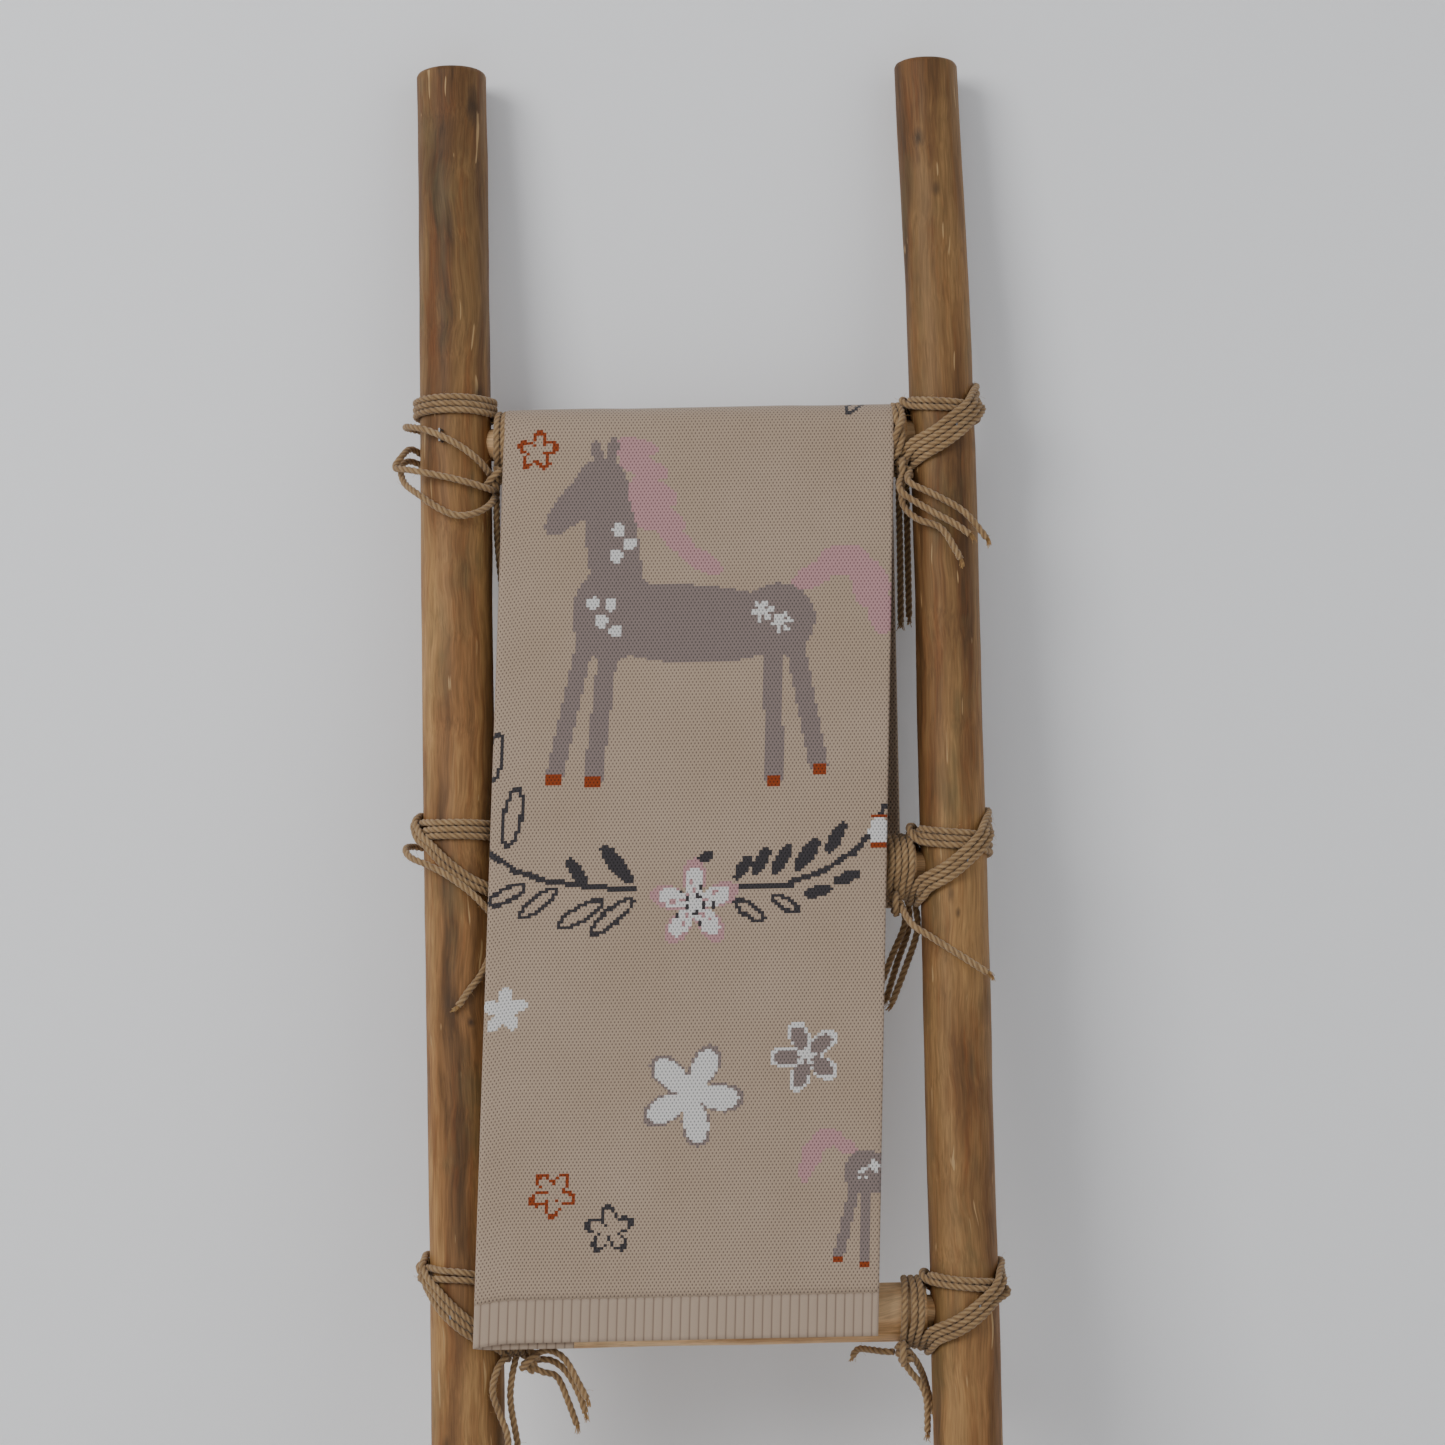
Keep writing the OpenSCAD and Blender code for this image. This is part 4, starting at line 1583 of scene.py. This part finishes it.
@dataclass
class Lashing:
    """Twine that ties one rung to one pole.

    Turns round the rung's end come first, then turns that pass over the rung, then
    turns that pass under it, so that the last cross on top at the pole's front.
    """

    plane: LadderPlane
    side: int
    rung: int
    over: tuple[float, ...]
    under: tuple[float, ...]
    rung_turns: tuple[float, ...]
    reach: float = 7.0
    band: tuple[float, ...] = ()
    loose: tuple[tuple[tuple[float, float, float], ...], ...] = ()
    knot: tuple[float, float, float] | None = None
    knot_wrap: tuple[float, float, float] = (3.3, 2.4, 4.7)
    step: float = 2.4
    clear: float = 0.2
    squeeze: float = 0.93
    slack: float = 0.22
    loose_slack: float = 0.05
    push: float = 0.42
    push_gain: float = 1.3
    rounds: int = 34

    @property
    def name(self) -> str:
        """The CAD node that this lashing stands for."""
        return f"lashing_{self.rung}_{'left' if self.side == LEFT else 'right'}"

    def lines(self) -> list[np.ndarray]:
        """Returns the settled lines of all its twine, in the ladder's plane."""
        raw = []
        if self.rung_turns:
            raw.append(self._round_rung())
        if self.band:
            raw.append(self._band())
        if self.over:
            raw.append(self._turns(self.over, Pass.OVER))
        if self.under:
            raw.append(self._turns(self.under, Pass.UNDER))
        tight = [catmull(p, self.step) for p in raw]
        free = [catmull(np.array(p), self.step) for p in self.loose]
        settled = self._settle(tight + free, len(tight))
        if self.knot:
            settled.append(self._knot_line())
        return settled

    def _round_rung(self) -> np.ndarray:
        """Returns the line that winds round the rung's end, next to the pole first."""
        u0 = self.plane.rung_u(self.rung)
        r = self.plane.rung_r(self.rung) + self.plane.twine_d / 2 + self.clear
        edge = self.plane.inner_x(self.side, u0)
        return np.array([
            (edge - self.side * away, -r * math.sin(b), u0 - r * math.cos(b))
            for b, away in winding(self.rung_turns, 12)
        ])

    def _band(self) -> np.ndarray:
        """Returns the line of the tight level turns round the pole."""
        u0 = self.plane.rung_u(self.rung)
        return np.array([
            self._on_pole(b - math.pi / 2, u0 + height, self.clear)
            for b, height in winding(self.band, 14)
        ])

    def _on_pole(self, a: float, u: float, lift: float) -> tuple[float, float, float]:
        """Returns a point on the pole's skin: a is 0 outside and a quarter turn in front."""
        r = float(self.plane.pole_r(self.side, u)) + self.plane.twine_d / 2 + lift
        x = float(self.plane.pole_x(self.side, u))
        return x + self.side * r * math.cos(a), -r * math.sin(a), u

    def _turns(self, heights: tuple[float, ...], way: Pass) -> np.ndarray:
        """Returns the line of the crossing turns.

        Args:
            heights: Height above the rung's axis of each turn at the pole's outer side.
            way: Whether the turns pass over or under the rung.

        Returns:
            Control points of the whole line.
        """
        u0, rr = self.plane.rung_u(self.rung), self.plane.rung_r(self.rung)
        r = rr + self.plane.twine_d / 2 + 0.3
        s = way.value
        points = []
        for k, high in enumerate(heights):
            out = u0 + high
            near = u0 + s * (rr + 4)
            x = self.plane.inner_x(self.side, u0) - self.side * (
                self.reach - k * 1.2 if way is Pass.UNDER else 4.0
            )
            lift = 0.4 if way is Pass.OVER else 3.0
            middle = out + (near - out) * (0.36 if way is Pass.OVER else 0.7)
            points += [
                self._on_pole(math.radians(-50), out - 1, 0.4),
                self._on_pole(math.radians(0), out, 0.4),
                self._on_pole(math.radians(55), out + (middle - out) * 0.5, lift),
                self._on_pole(math.radians(100), middle, lift),
            ]
            if way is Pass.UNDER:
                points += [
                    (x, -r * 0.72, u0 - r * 0.7 - k), (x, -r * 0.3, u0 - r * 0.95),
                    (x, r * 0.4, u0 - r * 0.95)
                ]
            else:
                points += [(x, -r * 0.5, u0 + r * 1.0), (x, r * 0.45, u0 + r * 0.98)]
            points += [
                self._on_pole(math.radians(-128), u0 + s * (rr * 0.6) + k * 2.0, 0.4),
                self._on_pole(math.radians(-92), u0 + (high + s * rr * 0.5) / 2 + k * 2.0, 0.4),
            ]
        return np.array(points)

    def _knot_line(self) -> np.ndarray:
        """Returns the wraps of the knot, two turns round the tails and one across."""
        r, turns, rise = self.knot_wrap
        t = np.linspace(0, turns * math.tau, 70)
        wraps = np.stack([r * np.cos(t), -r * np.sin(t), (t / math.tau - turns / 2) * rise], -1)
        cross = np.array(
            [(3.0, -3.6, 6.4), (0.6, -7.2, 3.0), (-1.6, -7.4, -2.0), (-3.4, -3.4, -6.6)]
        )
        line = np.vstack([wraps, catmull(cross[::-1] if wraps[-1, 2] < 0 else cross, 1.2)])
        turn = math.radians(24 * self.side)
        c, s = math.cos(turn), math.sin(turn)
        x, n, u = line.T
        return resample(np.stack([x * c - u * s, n, x * s + u * c], -1) + np.array(self.knot), 1.2)

    def _settle(self, lines: list[np.ndarray], tight: int) -> list[np.ndarray]:
        """Draws the twine tight and lets strands lie on each other.

        Args:
            lines: Lines in the ladder's plane.
            tight: How many of the first lines are under tension.

        Returns:
            The settled lines.
        """
        d = self.plane.twine_d * self.squeeze
        owner = np.concatenate([np.full(len(p), k) for k, p in enumerate(lines)])
        place = np.concatenate([np.arange(len(p)) for p in lines])
        points = np.vstack(lines)
        pull = np.where(owner < tight, self.slack, self.loose_slack)[:, None]
        ends = np.concatenate([[j in (0, len(p) - 1) for j in range(len(p))] for p in lines])
        apart = (owner[:, None] != owner[None, :]) | (np.abs(place[:, None] - place[None, :]) > 4)
        for _ in range(self.rounds):
            eased = points.copy()
            inner = ~ends
            index = np.flatnonzero(inner)
            eased[index] = points[index] + pull[index] * (
                (points[index - 1] + points[index + 1]) / 2 - points[index]
            )
            points = eased
            for _ in range(2):
                gap = points[:, None, :] - points[None, :, :]
                far = np.linalg.norm(gap, axis=-1) + 1e-6
                push = np.where(apart & (far < d), (d - far) * self.push, 0.0)
                moves = (gap / far[..., None] * push[..., None]).sum(1)
                share = np.maximum((push > 0).sum(1), 1)[:, None]
                points = points + moves / share * self.push_gain
                points = self._clear_of_wood(points)
        return [points[owner == k] for k in range(len(lines))]

    def _clear_of_wood(self, points: np.ndarray) -> np.ndarray:
        """Pushes points out of the pole and the rung and returns them."""
        half = self.plane.twine_d / 2 + 0.15
        u0 = self.plane.rung_u(self.rung)
        x, n, u = points[:, 0].copy(), points[:, 1].copy(), points[:, 2].copy()
        edge = self.plane.inner_x(self.side, u0) - self.side * 1.0
        on_rung = (x - edge) * self.side < 0
        far = np.hypot(n, u - u0) + 1e-6
        need = self.plane.rung_r(self.rung) + half
        grow = np.where(on_rung & (far < need), need / far, 1.0)
        n, u = n * grow, u0 + (u - u0) * grow
        axis = self.plane.pole_x(self.side, u)
        across = x - axis
        far = np.hypot(across, n) + 1e-6
        need = self.plane.pole_r(self.side, u) + half
        grow = np.where(far < need, need / far, 1.0)
        return np.stack([axis + across * grow, n * grow, u], -1)


def lashings(plane: LadderPlane) -> list[Lashing]:
    """Returns the eight lashings as they are tied."""
    loose_top_left = (
        ((-150, 27, 1247), (-176, 27, 1249), (-197, 8, 1250), (-198, -14, 1247), (-188, -28, 1243),
         (-176, -32, 1238), (-160, -33, 1229), (-147, -27, 1219), (-141, -16, 1212),
         (-140, 2, 1210), (-144, 20, 1214), (-152, 28, 1220)),
        ((-158, 29, 1224), (-182, 25, 1229), (-196, 8, 1236), (-202, -6, 1228), (-207, -12, 1219),
         (-199, -22, 1216), (-186, -30, 1212), (-166, -32, 1207), (-150, -28, 1203),
         (-140, -18, 1201), (-138, -4, 1203), (-141, 14, 1205), (-150, 27, 1207)),
        ((-160, 29, 1214), (-184, 24, 1224), (-198, 10, 1228), (-203, -2, 1221), (-200, -14, 1208),
         (-190, -26, 1198), (-176, -32, 1187), (-163, -33, 1181), (-150, -30, 1183),
         (-141, -22, 1190), (-138, -8, 1199), (-141, 12, 1204), (-152, 26, 1203)),
    )
    loose_mid_left = (
        ((-152, 28, 952), (-178, 27, 957), (-197, 10, 960), (-202, -8, 957), (-198, -20, 950),
         (-186, -29, 944), (-170, -33, 935), (-154, -31, 922), (-145, -25, 912), (-141, -8, 909),
         (-143, 14, 912), (-152, 27, 918)),
    )
    return [
        Lashing(
            plane, LEFT, 1, (), (), (4.2, 9.4), band=(31, 26, 21), loose=loose_top_left,
            knot=(-137.5, -12.5, 1210)
        ),
        Lashing(
            plane, RIGHT, 1, (17, 12), (35, 30, 25, 20), (8.0, 8.0), reach=6.5,
            knot=(141.5, -12.5, 1210)
        ),
        Lashing(
            plane, LEFT, 2, (), (40, 36), (9, 13.5, 9), band=(36, 31, 27), loose=loose_mid_left,
            knot=(-135, -12.5, 912)
        ),
        Lashing(
            plane, RIGHT, 2, (19, 14, 9), (38, 33, 28), (17.5, 13.2, 9, 13), reach=6.5,
            knot=(129, -12.5, 912)
        ),
        Lashing(
            plane, LEFT, 3, (36, 29), (44, 38, 28), (9, 13.5), reach=6, knot=(-122, -13.2, 613)
        ),
        Lashing(
            plane, RIGHT, 3, (18, 12), (33, 27, 16), (20, 13, 7), reach=4.5, knot=(126, -13.2, 613)
        ),
        Lashing(plane, LEFT, 4, (26, 18), (38, 32, 26), (9, 14, 19), knot=(-136, -13.2, 315)),
        Lashing(plane, RIGHT, 4, (26, 18), (38, 32, 26), (9, 14, 19), knot=(136, -13.2, 315)),
    ]


@dataclass
class TwineTail:
    """One free end of a lashing: it leaves the knot, hangs and ends frayed."""

    node: str
    side: int
    rung: int
    points: tuple[tuple[float, float, float], ...]

    def line(self, plane: LadderPlane) -> np.ndarray:
        """Returns its course in metres, in the shared frame."""
        u0 = plane.rung_u(self.rung)
        crossing = np.array([float(plane.pole_x(self.side, u0)), 0.0, u0])
        return plane.world(catmull(crossing + np.array(self.points, float), 1.5))

    def build(self, shop: TwineShop, seed: int) -> Piece:
        """Args:
            shop: Makes the twine.
            seed: Seed of the frayed end.

        Returns:
            The tail.
        """
        line = self.line(shop.plane)
        swell = 1.0 + 0.16 * smooth_step(
            np.linspace(-6.0, 1.0, len(line)) if len(line) > 30 else np.linspace(-3, 1, len(line))
        )
        name = self.node + "_twine"
        body = shop.lay_up(name, [line[:-3]], [swell[:-3]])
        heading = (line[-1] - line[-5]) / np.linalg.norm(line[-1] - line[-5])
        tail = joined(body, shop.tuft(name + "_tuft", line[-5], heading, seed))
        declare(tail, LADDER_BODY, self.node)
        return tail


def tails() -> list[TwineTail]:
    """Returns every free twine end, its points counted from the crossing of rung and pole axes."""
    courses = {
        (LEFT, 1): (
            ((29, -10, -22), (28, -4, -40), (28, 2, -68), (30.5, 8, -102)),
        ),
        (RIGHT, 1): (
            ((-24, -15, -26), (-25, -26, -37), (-8, -30, -47), (12, -31, -60), (29, -29, -81)),
            ((-29, -16, -29), (-31, -27, -43), (-13, -31, -57), (5, -33, -68), (18, -33, -78)),
            (
                (-29, -12, -30), (-29.5, -21, -51), (-20, -27.5, -63), (-5, -31, -70),
                (4, -32, -84), (10, -31, -96)
            ),
            ((-30.5, 8, -24), (-30.5, 12, -38), (-30.5, 18, -78), (-31, 25, -130)),
            ((-25, 12, -22), (-25, 16, -38), (-25, 21, -78), (-25, 28, -126)),
        ),
        (LEFT, 2): (
            ((27, -12, -24), (24, -16, -45), (16, -22.3, -66), (6, -27, -80), (-3, -28, -93)),
        ),
        (RIGHT, 2): (
            ((-37, -17, -28), (-30, -28, -41), (-19, -30, -49), (2, -31, -63), (23, -31, -77)),
            ((-37, 14, -20), (-33, 15, -36), (-43, 17, -60), (-52, 20, -82)),
            ((-31, 18, -16), (-30, 23, -38), (-39, 26, -64), (-48, 29, -92)),
            ((-26, 12, -22), (-25, 11, -42), (-34, 13, -68), (-45, 17, -95)),
        ),
        (LEFT, 3): (
            ((46, -15, -22), (56, -19, -20), (66, -21, -26), (75, -21, -42), (82, -20, -56)),
            ((45.5, -10, -26), (57, -11, -27), (67, -13, -35), (75, -13, -50), (80, -13, -66)),
            ((41, -14, -28.5), (50, -12, -34), (60, -7, -38), (67, -5, -54), (74, -4, -74)),
            (
                (27, -14, -23), (21, -20, -32), (18, -23, -46), (22, -21, -60), (27, -19, -74),
                (28, -17, -90)
            ),
            (
                (33, -8, -24), (30, -9, -38), (29, -9, -54), (33, -8, -80), (36, -5, -104),
                (37, -2, -124)
            ),
        ),
        (RIGHT, 3): (
            ((-39.5, -12, -25), (-34, -6, -32), (-29, 6, -42), (-25, 18, -55), (-20, 26, -72)),
            ((-44, -12, -29.6), (-38, -8, -39), (-31, -3, -48), (-27, 2, -60), (-27, 6, -84)),
            (
                (-48.5, -11, -26), (-56, -8, -25.5), (-64, 0, -24.5), (-72, 10, -24.5),
                (-77, 17, -32)
            ),
        ),
        (LEFT, 4): (
            ((27, -12, -25), (24, -20, -40), (21, -25, -60), (20, -26, -86)),
            ((33, -8, -26), (34, -9, -45), (36, -7, -76)),
        ),
        (RIGHT, 4): (
            ((-28, -12, -25), (-24, -21, -42), (-16, -26, -60), (-12, -27, -84)),
            ((-34, -8, -26), (-36, -8, -46), (-37, -5, -80)),
        ),
    }
    return [
        TwineTail(f"tail_{rung}_{'left' if side == LEFT else 'right'}_{letter}", side, rung, points)
        for (side, rung), group in courses.items()
        for letter, points in zip("abcde", group)
    ]


# ---- The blanket ----


@dataclass
class FoldedBlanket:
    """One knitted sheet, folded lengthwise and hung over the top rung.

    Across its width the sheet lies as a narrow flap turned behind at the left, the
    front panel, the back panel and a part tucked between the two.
    """

    plane: LadderPlane
    wide: float = 266.0
    thick: float = 5.4
    length: float = 1000.0
    front_fall: float = 611.0
    hem: float = 28.0
    middle_x: float = 2.5
    skew: float = 27.5
    stand_off: float = 14.6
    rest_gap: float = 0.4
    flap: float = 66.0
    tuck: float = 198.0
    cloth: float = 1.15
    hem_cloth: float = 0.95
    low_flap: float = 4.0
    settle: float = 0.42
    rib_pitch: float = 6.0
    rib_rise: float = 0.42
    step: float = 6.0

    def __post_init__(self) -> None:
        """Works out the drape from its sizes."""
        self.flare = math.atan(self.stand_off / self.front_fall)
        self.inner = self.plane.thin_rung_r + self.rest_gap
        self.front_end = self.front_fall / math.cos(self.flare)
        self.turn = math.pi - self.flare - math.radians(self.plane.lean)
        self.arc = (self.inner + self.thick / 2) * self.turn
        u = self.plane.rung_u(1)
        lean = math.radians(self.plane.lean)
        self.rung_y = self.plane.foot_y + u * math.sin(lean)
        self.rung_z = u * math.cos(lean)

    @property
    def layer(self) -> float:
        """Thickness of one layer with its share of air."""
        return self.thick / 4

    def section(self, step: float) -> tuple[np.ndarray, np.ndarray, np.ndarray]:
        """Runs across the folded sheet.

        Args:
            step: Distance between points on the flat parts.

        Returns:
            x of each point, its depth under the outer face, and its place across
            the flat sheet, in millimetres.
        """
        t = self.layer
        left = self.middle_x - self.wide / 2
        right = left + self.wide

        def flat(start: float, end: float, depth: float) -> list[tuple[float, float]]:
            """Returns points of a flat layer from start to end."""
            count = max(2, int(abs(end - start) / step) + 1)
            return [
                (float(x), depth + self._sink(x - left)) for x in np.linspace(start, end, count)
            ]

        def fold(x: float, bulge: float, first: float, last: float) -> list[tuple[float, float]]:
            """Returns points of a fold between two depths."""
            sink = self._sink(x - left)
            mid, half = (first + last) / 2, (last - first) / 2
            return [
                (x + bulge * math.sin(a), mid - half * math.cos(a) + sink)
                for a in np.linspace(0, math.pi, 9)[1:-1]
            ]

        run = flat(left + self.flap, left + 2.0 * t, 3.5 * t)
        run += fold(left + 2.0 * t, -2.0 * t, 3.5 * t, 0.5 * t)
        run += flat(left + 2.0 * t, right - 1.2 * t, 0.5 * t)
        run += fold(right - 1.2 * t, 1.2 * t, 0.5 * t, 2.5 * t)
        run += flat(right - 1.2 * t, left + 2.2 * t, 2.5 * t)
        run += fold(left + 2.2 * t, -0.8 * t, 2.5 * t, 1.5 * t)
        run += flat(left + 2.2 * t, left + self.tuck, 1.5 * t)
        x, depth = np.array(run).T
        along = np.concatenate([[0], np.cumsum(np.hypot(np.diff(x), np.diff(depth)))])
        return x, depth, along

    def _sink(self, x: float) -> float:
        """Returns how far a layer sinks where the layers under it have ended."""
        sunk = self.settle * self.layer
        ends = (self.flap, self.tuck)
        return float(sum(sunk * smooth_step((x - end + 8) / 30) for end in ends))

    def course(self, s: np.ndarray) -> tuple[np.ndarray, np.ndarray, np.ndarray]:
        """Follows the drape from the front hem over the rung to the back hem.

        Args:
            s: Distances from the front hem's lower edge, in millimetres.

        Returns:
            Foot of the normal (y, z) about the rung, the normal's angle from the
            back, and how far the cloth is drawn to the left.
        """
        down = np.maximum(self.front_end - s, 0)
        back = np.maximum(s - self.front_end - self.arc, 0)
        angle = self.turn - np.clip((s - self.front_end) / self.arc, 0, 1) * self.turn
        tilt = math.radians(self.plane.lean) + self.flare
        base = np.stack([-down * math.sin(tilt), -down * math.cos(tilt) - back], -1)
        return base, angle, down * self.skew / self.front_fall

    def ripple(self, x: np.ndarray, s: np.ndarray) -> np.ndarray:
        """Returns how far the cloth stands off its flat course, never inwards."""
        low = smooth_step((self.front_end - 60 - s) / 420)
        back = smooth_step((s - self.front_end - self.arc - 40) / 250)
        wave = 0.9 * np.sin(x / 41 + 0.6) + 0.5 * np.sin(x / 19 + s / 160)
        wave = wave + 0.5 * np.sin(s / 90 + 1.0)
        return (low * 1.5 + back * 2.0) * (1.1 + 0.55 * wave)

    def points(
        self, w_step: float, s: np.ndarray, lift: np.ndarray | float = 0.0
    ) -> tuple[np.ndarray, np.ndarray]:
        """Places the sheet's points.

        Args:
            w_step: Distance between points across.
            s: Distances from the front hem's lower edge.
            lift: Extra height off the cloth's middle, as (row, column).

        Returns:
            Points as (row, column, xyz) in metres, and their flat places in metres.
        """
        x, depth, across = self.section(w_step)
        behind = 1 - smooth_step((across - self.flap + 12) / 40)
        ss = s[:, None] - self.low_flap * behind[None, :]
        base, angle, drawn = self.course(ss)
        xx = np.broadcast_to(x[None, :], ss.shape)
        out = self.inner + self.thick - depth[None, :] + self.ripple(xx, ss) + lift
        y = self.rung_y + base[..., 0] + out * np.cos(angle)
        z = self.rung_z + base[..., 1] + out * np.sin(angle)
        rows = np.stack([xx - drawn, y, z], -1) * MM
        uv = np.stack(np.broadcast_arrays(across[None, :], s[:, None]), -1) * MM
        return rows, uv

    def build(self, knit: Material, rib: Material) -> list[Piece]:
        """Makes the blanket and its two hems.

        Args:
            knit: The body's material.
            rib: The hems' material.

        Returns:
            The blanket, the front hem and the back hem.
        """
        s = np.linspace(self.hem, self.length - self.hem, 168)
        rows, uv = self.points(self.step, s)
        body = self._cloth("draped_blanket", rows, uv, knit, self.cloth)
        hems = [
            self._hem("front_rib_hem", 0.0, self.hem, rib),
            self._hem("back_rib_hem", self.length - self.hem, self.length, rib),
        ]
        declare(body, BLANKET_BODY, "blanket")
        for hem, node in zip(hems, ("front_hem", "back_hem")):
            declare(hem, BLANKET_BODY, node)
        flat_width = float(self.section(self.step)[2][-1]) * MM
        LOG.info("sheet %.3f m by %.3f m", flat_width, self.length * MM)
        return [body, *hems]

    def _hem(self, name: str, low: float, high: float, rib: Material) -> Piece:
        """Makes one ribbed hem between two distances along the sheet.

        Args:
            name: The piece's name.
            low: Where it starts.
            high: Where it ends.
            rib: Its material.

        Returns:
            The hem.
        """
        s = np.linspace(low, high, 9)
        across = self.section(1.0)[2]
        ridge = np.abs(np.sin(math.pi * across / self.rib_pitch)) ** 0.5 - 0.8
        rows, uv = self.points(1.0, s, self.rib_rise * ridge[None, :])
        return self._cloth(name, rows, uv, rib, self.hem_cloth)

    def _cloth(
        self, name: str, rows: np.ndarray, uv: np.ndarray, material: Material, thick: float
    ) -> Piece:
        """Gives a sheet of points its thickness.

        Args:
            name: The piece's name.
            rows: Points as (row, column, xyz).
            uv: Their flat places.
            material: The cloth's material.
            thick: The cloth's thickness, in millimetres.

        Returns:
            The closed cloth.
        """
        obj = grid_mesh(name, rows, uv, False, [material])
        wall = obj.modifiers.new("thickness", "SOLIDIFY")
        wall.thickness = thick * MM
        wall.offset = 0.0
        wall.use_even_offset = False
        return face_outwards(bake_modifiers(obj))


# ---- The studio ----


@dataclass
class Studio:
    """Floor, wall, light and camera."""

    eye: tuple[float, float, float] = (0.0144, -2.562, 1.031)
    focal: float = 3810.0
    frame_side: float = 1445.0
    roll: float = 1.2
    wall_y: float = 0.125

    def camera(self) -> Piece:
        """Makes the camera and returns it."""
        data = bpy.data.cameras.new("camera")
        data.sensor_fit = "HORIZONTAL"
        data.angle = 2 * math.atan(self.frame_side / 2 / self.focal)
        cam = link(bpy.data.objects.new("camera", data))
        cam.location = self.eye
        cam.rotation_euler = (math.radians(90), math.radians(self.roll), 0)
        bpy.context.scene.camera = cam
        return cam

    def plain(self, name: str, colour: str, roughness: float, one_sided: bool = False) -> Material:
        """Returns a plain painted material; a one-sided one can't be seen from its back."""
        material, tree, shader = surface(name)
        place = add(tree, "TexCoord", out="Object")
        grain = add(tree, "TexNoise", Vector=place, Scale=700.0, Detail=2.0)
        bump = add(tree, "Bump", Height=grain, Strength=0.08, Distance=0.0005)
        set_inputs(shader, {"Base Color": linear(colour), "Roughness": roughness, "Normal": bump})
        if one_sided:
            clear = add(tree, "BsdfTransparent")
            back = add(tree, "NewGeometry", out="Backfacing")
            both = add(tree, "MixShader", back, shader.outputs[0], clear)
            output = next(n for n in tree.nodes if n.bl_idname == "ShaderNodeOutputMaterial")
            tree.links.new(both, output.inputs["Surface"])
        return material

    def plate(
        self, name: str, corners: list[tuple[float, float, float]], material: Material
    ) -> Piece:
        """Makes a flat backdrop from four corners and returns it."""
        mesh = bpy.data.meshes.new(name)
        mesh.from_pydata(corners, [], [(0, 1, 2, 3)])
        mesh.materials.append(material)
        obj = link(bpy.data.objects.new(name, mesh))
        obj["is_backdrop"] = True
        return obj

    def lamp(self, name: str, place: tuple, aim: tuple, size: float, power: float) -> None:
        """Adds a square soft white light.

        Args:
            name: The light's name.
            place: Where it is, in metres.
            aim: The point that it faces.
            size: Its side, in metres.
            power: Its power, in watts.
        """
        data = bpy.data.lights.new(name, "AREA")
        data.size = size
        data.energy = power
        lamp = link(bpy.data.objects.new(name, data))
        lamp.location = place
        lamp.rotation_euler = (Vector(aim) - Vector(place)).to_track_quat("-Z", "Y").to_euler()

    def build(self) -> None:
        """Sets up the room."""
        y = self.wall_y
        self.plate(
            "floor", [(-4, -6, 0), (4, -6, 0), (4, 4, 0), (-4, 4, 0)],
            self.plain("pale_floor", "#D8D7D5", 0.7),
        )
        self.plate(
            "wall", [(-4, y, 0), (4, y, 0), (4, y, 4), (-4, y, 4)],
            self.plain("painted_wall", "#FAFAFB", 0.85, one_sided=True),
        )
        self.lamp("window", (-1.9, -2.4, 2.4), (0, 0, 1.0), 1.6, 58)
        self.lamp("fill", (2.2, -2.6, 1.3), (0, 0, 0.9), 2.2, 13)
        self.lamp("behind", (0.3, 2.3, 1.5), (0, 0, 0.9), 1.4, 40)
        world = bpy.data.worlds.new("soft_room")
        bpy.context.scene.world = world
        world.use_nodes = True
        world.node_tree.nodes.clear()
        sky = add(world.node_tree, "Background", Color=linear("#E4E8EE"), Strength=0.55, out=None)
        add(world.node_tree, "OutputWorld", Surface=sky.outputs[0], out=None)


# ---- The hardware ----


def dress_hardware(nodes: dict[str, Piece]) -> None:
    """Gives the screws and staples their metal.

    Args:
        nodes: The CAD nodes by name.
    """
    finishes = {
        "tenon_screws": Metal("zinc_plated_steel", "#B8BABD", 0.38),
        "twine_staples": Metal("dull_galvanised_wire", "#77777A", 0.48),
    }
    for name, finish in finishes.items():
        obj = nodes[name]
        obj.data.materials.clear()
        obj.data.materials.append(finish.material())
        LOG.info("%s dressed in %s", name, finish.name)


def corners() -> list[list[float]]:
    """Returns the shown object's lowest and highest corner as plain lists."""
    return [list(map(float, c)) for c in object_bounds()]


def main() -> None:
    """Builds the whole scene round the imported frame."""
    logging.basicConfig(level=logging.INFO, format="%(message)s")
    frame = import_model()
    plane = LadderPlane()
    studio = Studio()
    studio.camera()
    shop = TwineShop(plane, JuteTwine().material(), BareFibre().material())
    twines = [tail.build(shop, seed) for seed, tail in enumerate(tails())]
    for lashing in lashings(plane):
        made = shop.lay_up(lashing.name + "_twine", [plane.world(p) for p in lashing.lines()])
        declare(made, LADDER_BODY, lashing.name)
        twines.append(made)
    shop.loose_fibres(twines)
    Poles(plane).build(SaplingWood("debarked_sapling"), SawnEnd().material(plane))
    rung_wood = SaplingWood(
        "peeled_rung", pale="#E6C090", mid="#D0A678", deep="#A57C4E", red="#B57D46",
        stain_share=0.15, head_tone=1.0, across=True,
    )
    Rungs(plane).build(rung_wood.material((), plane))
    FoldedBlanket(plane).build(JacquardKnit().material(), RibKnit().material())
    dress_hardware(frame["nodes"])
    studio.build()


if __name__ == "__main__":
    main()
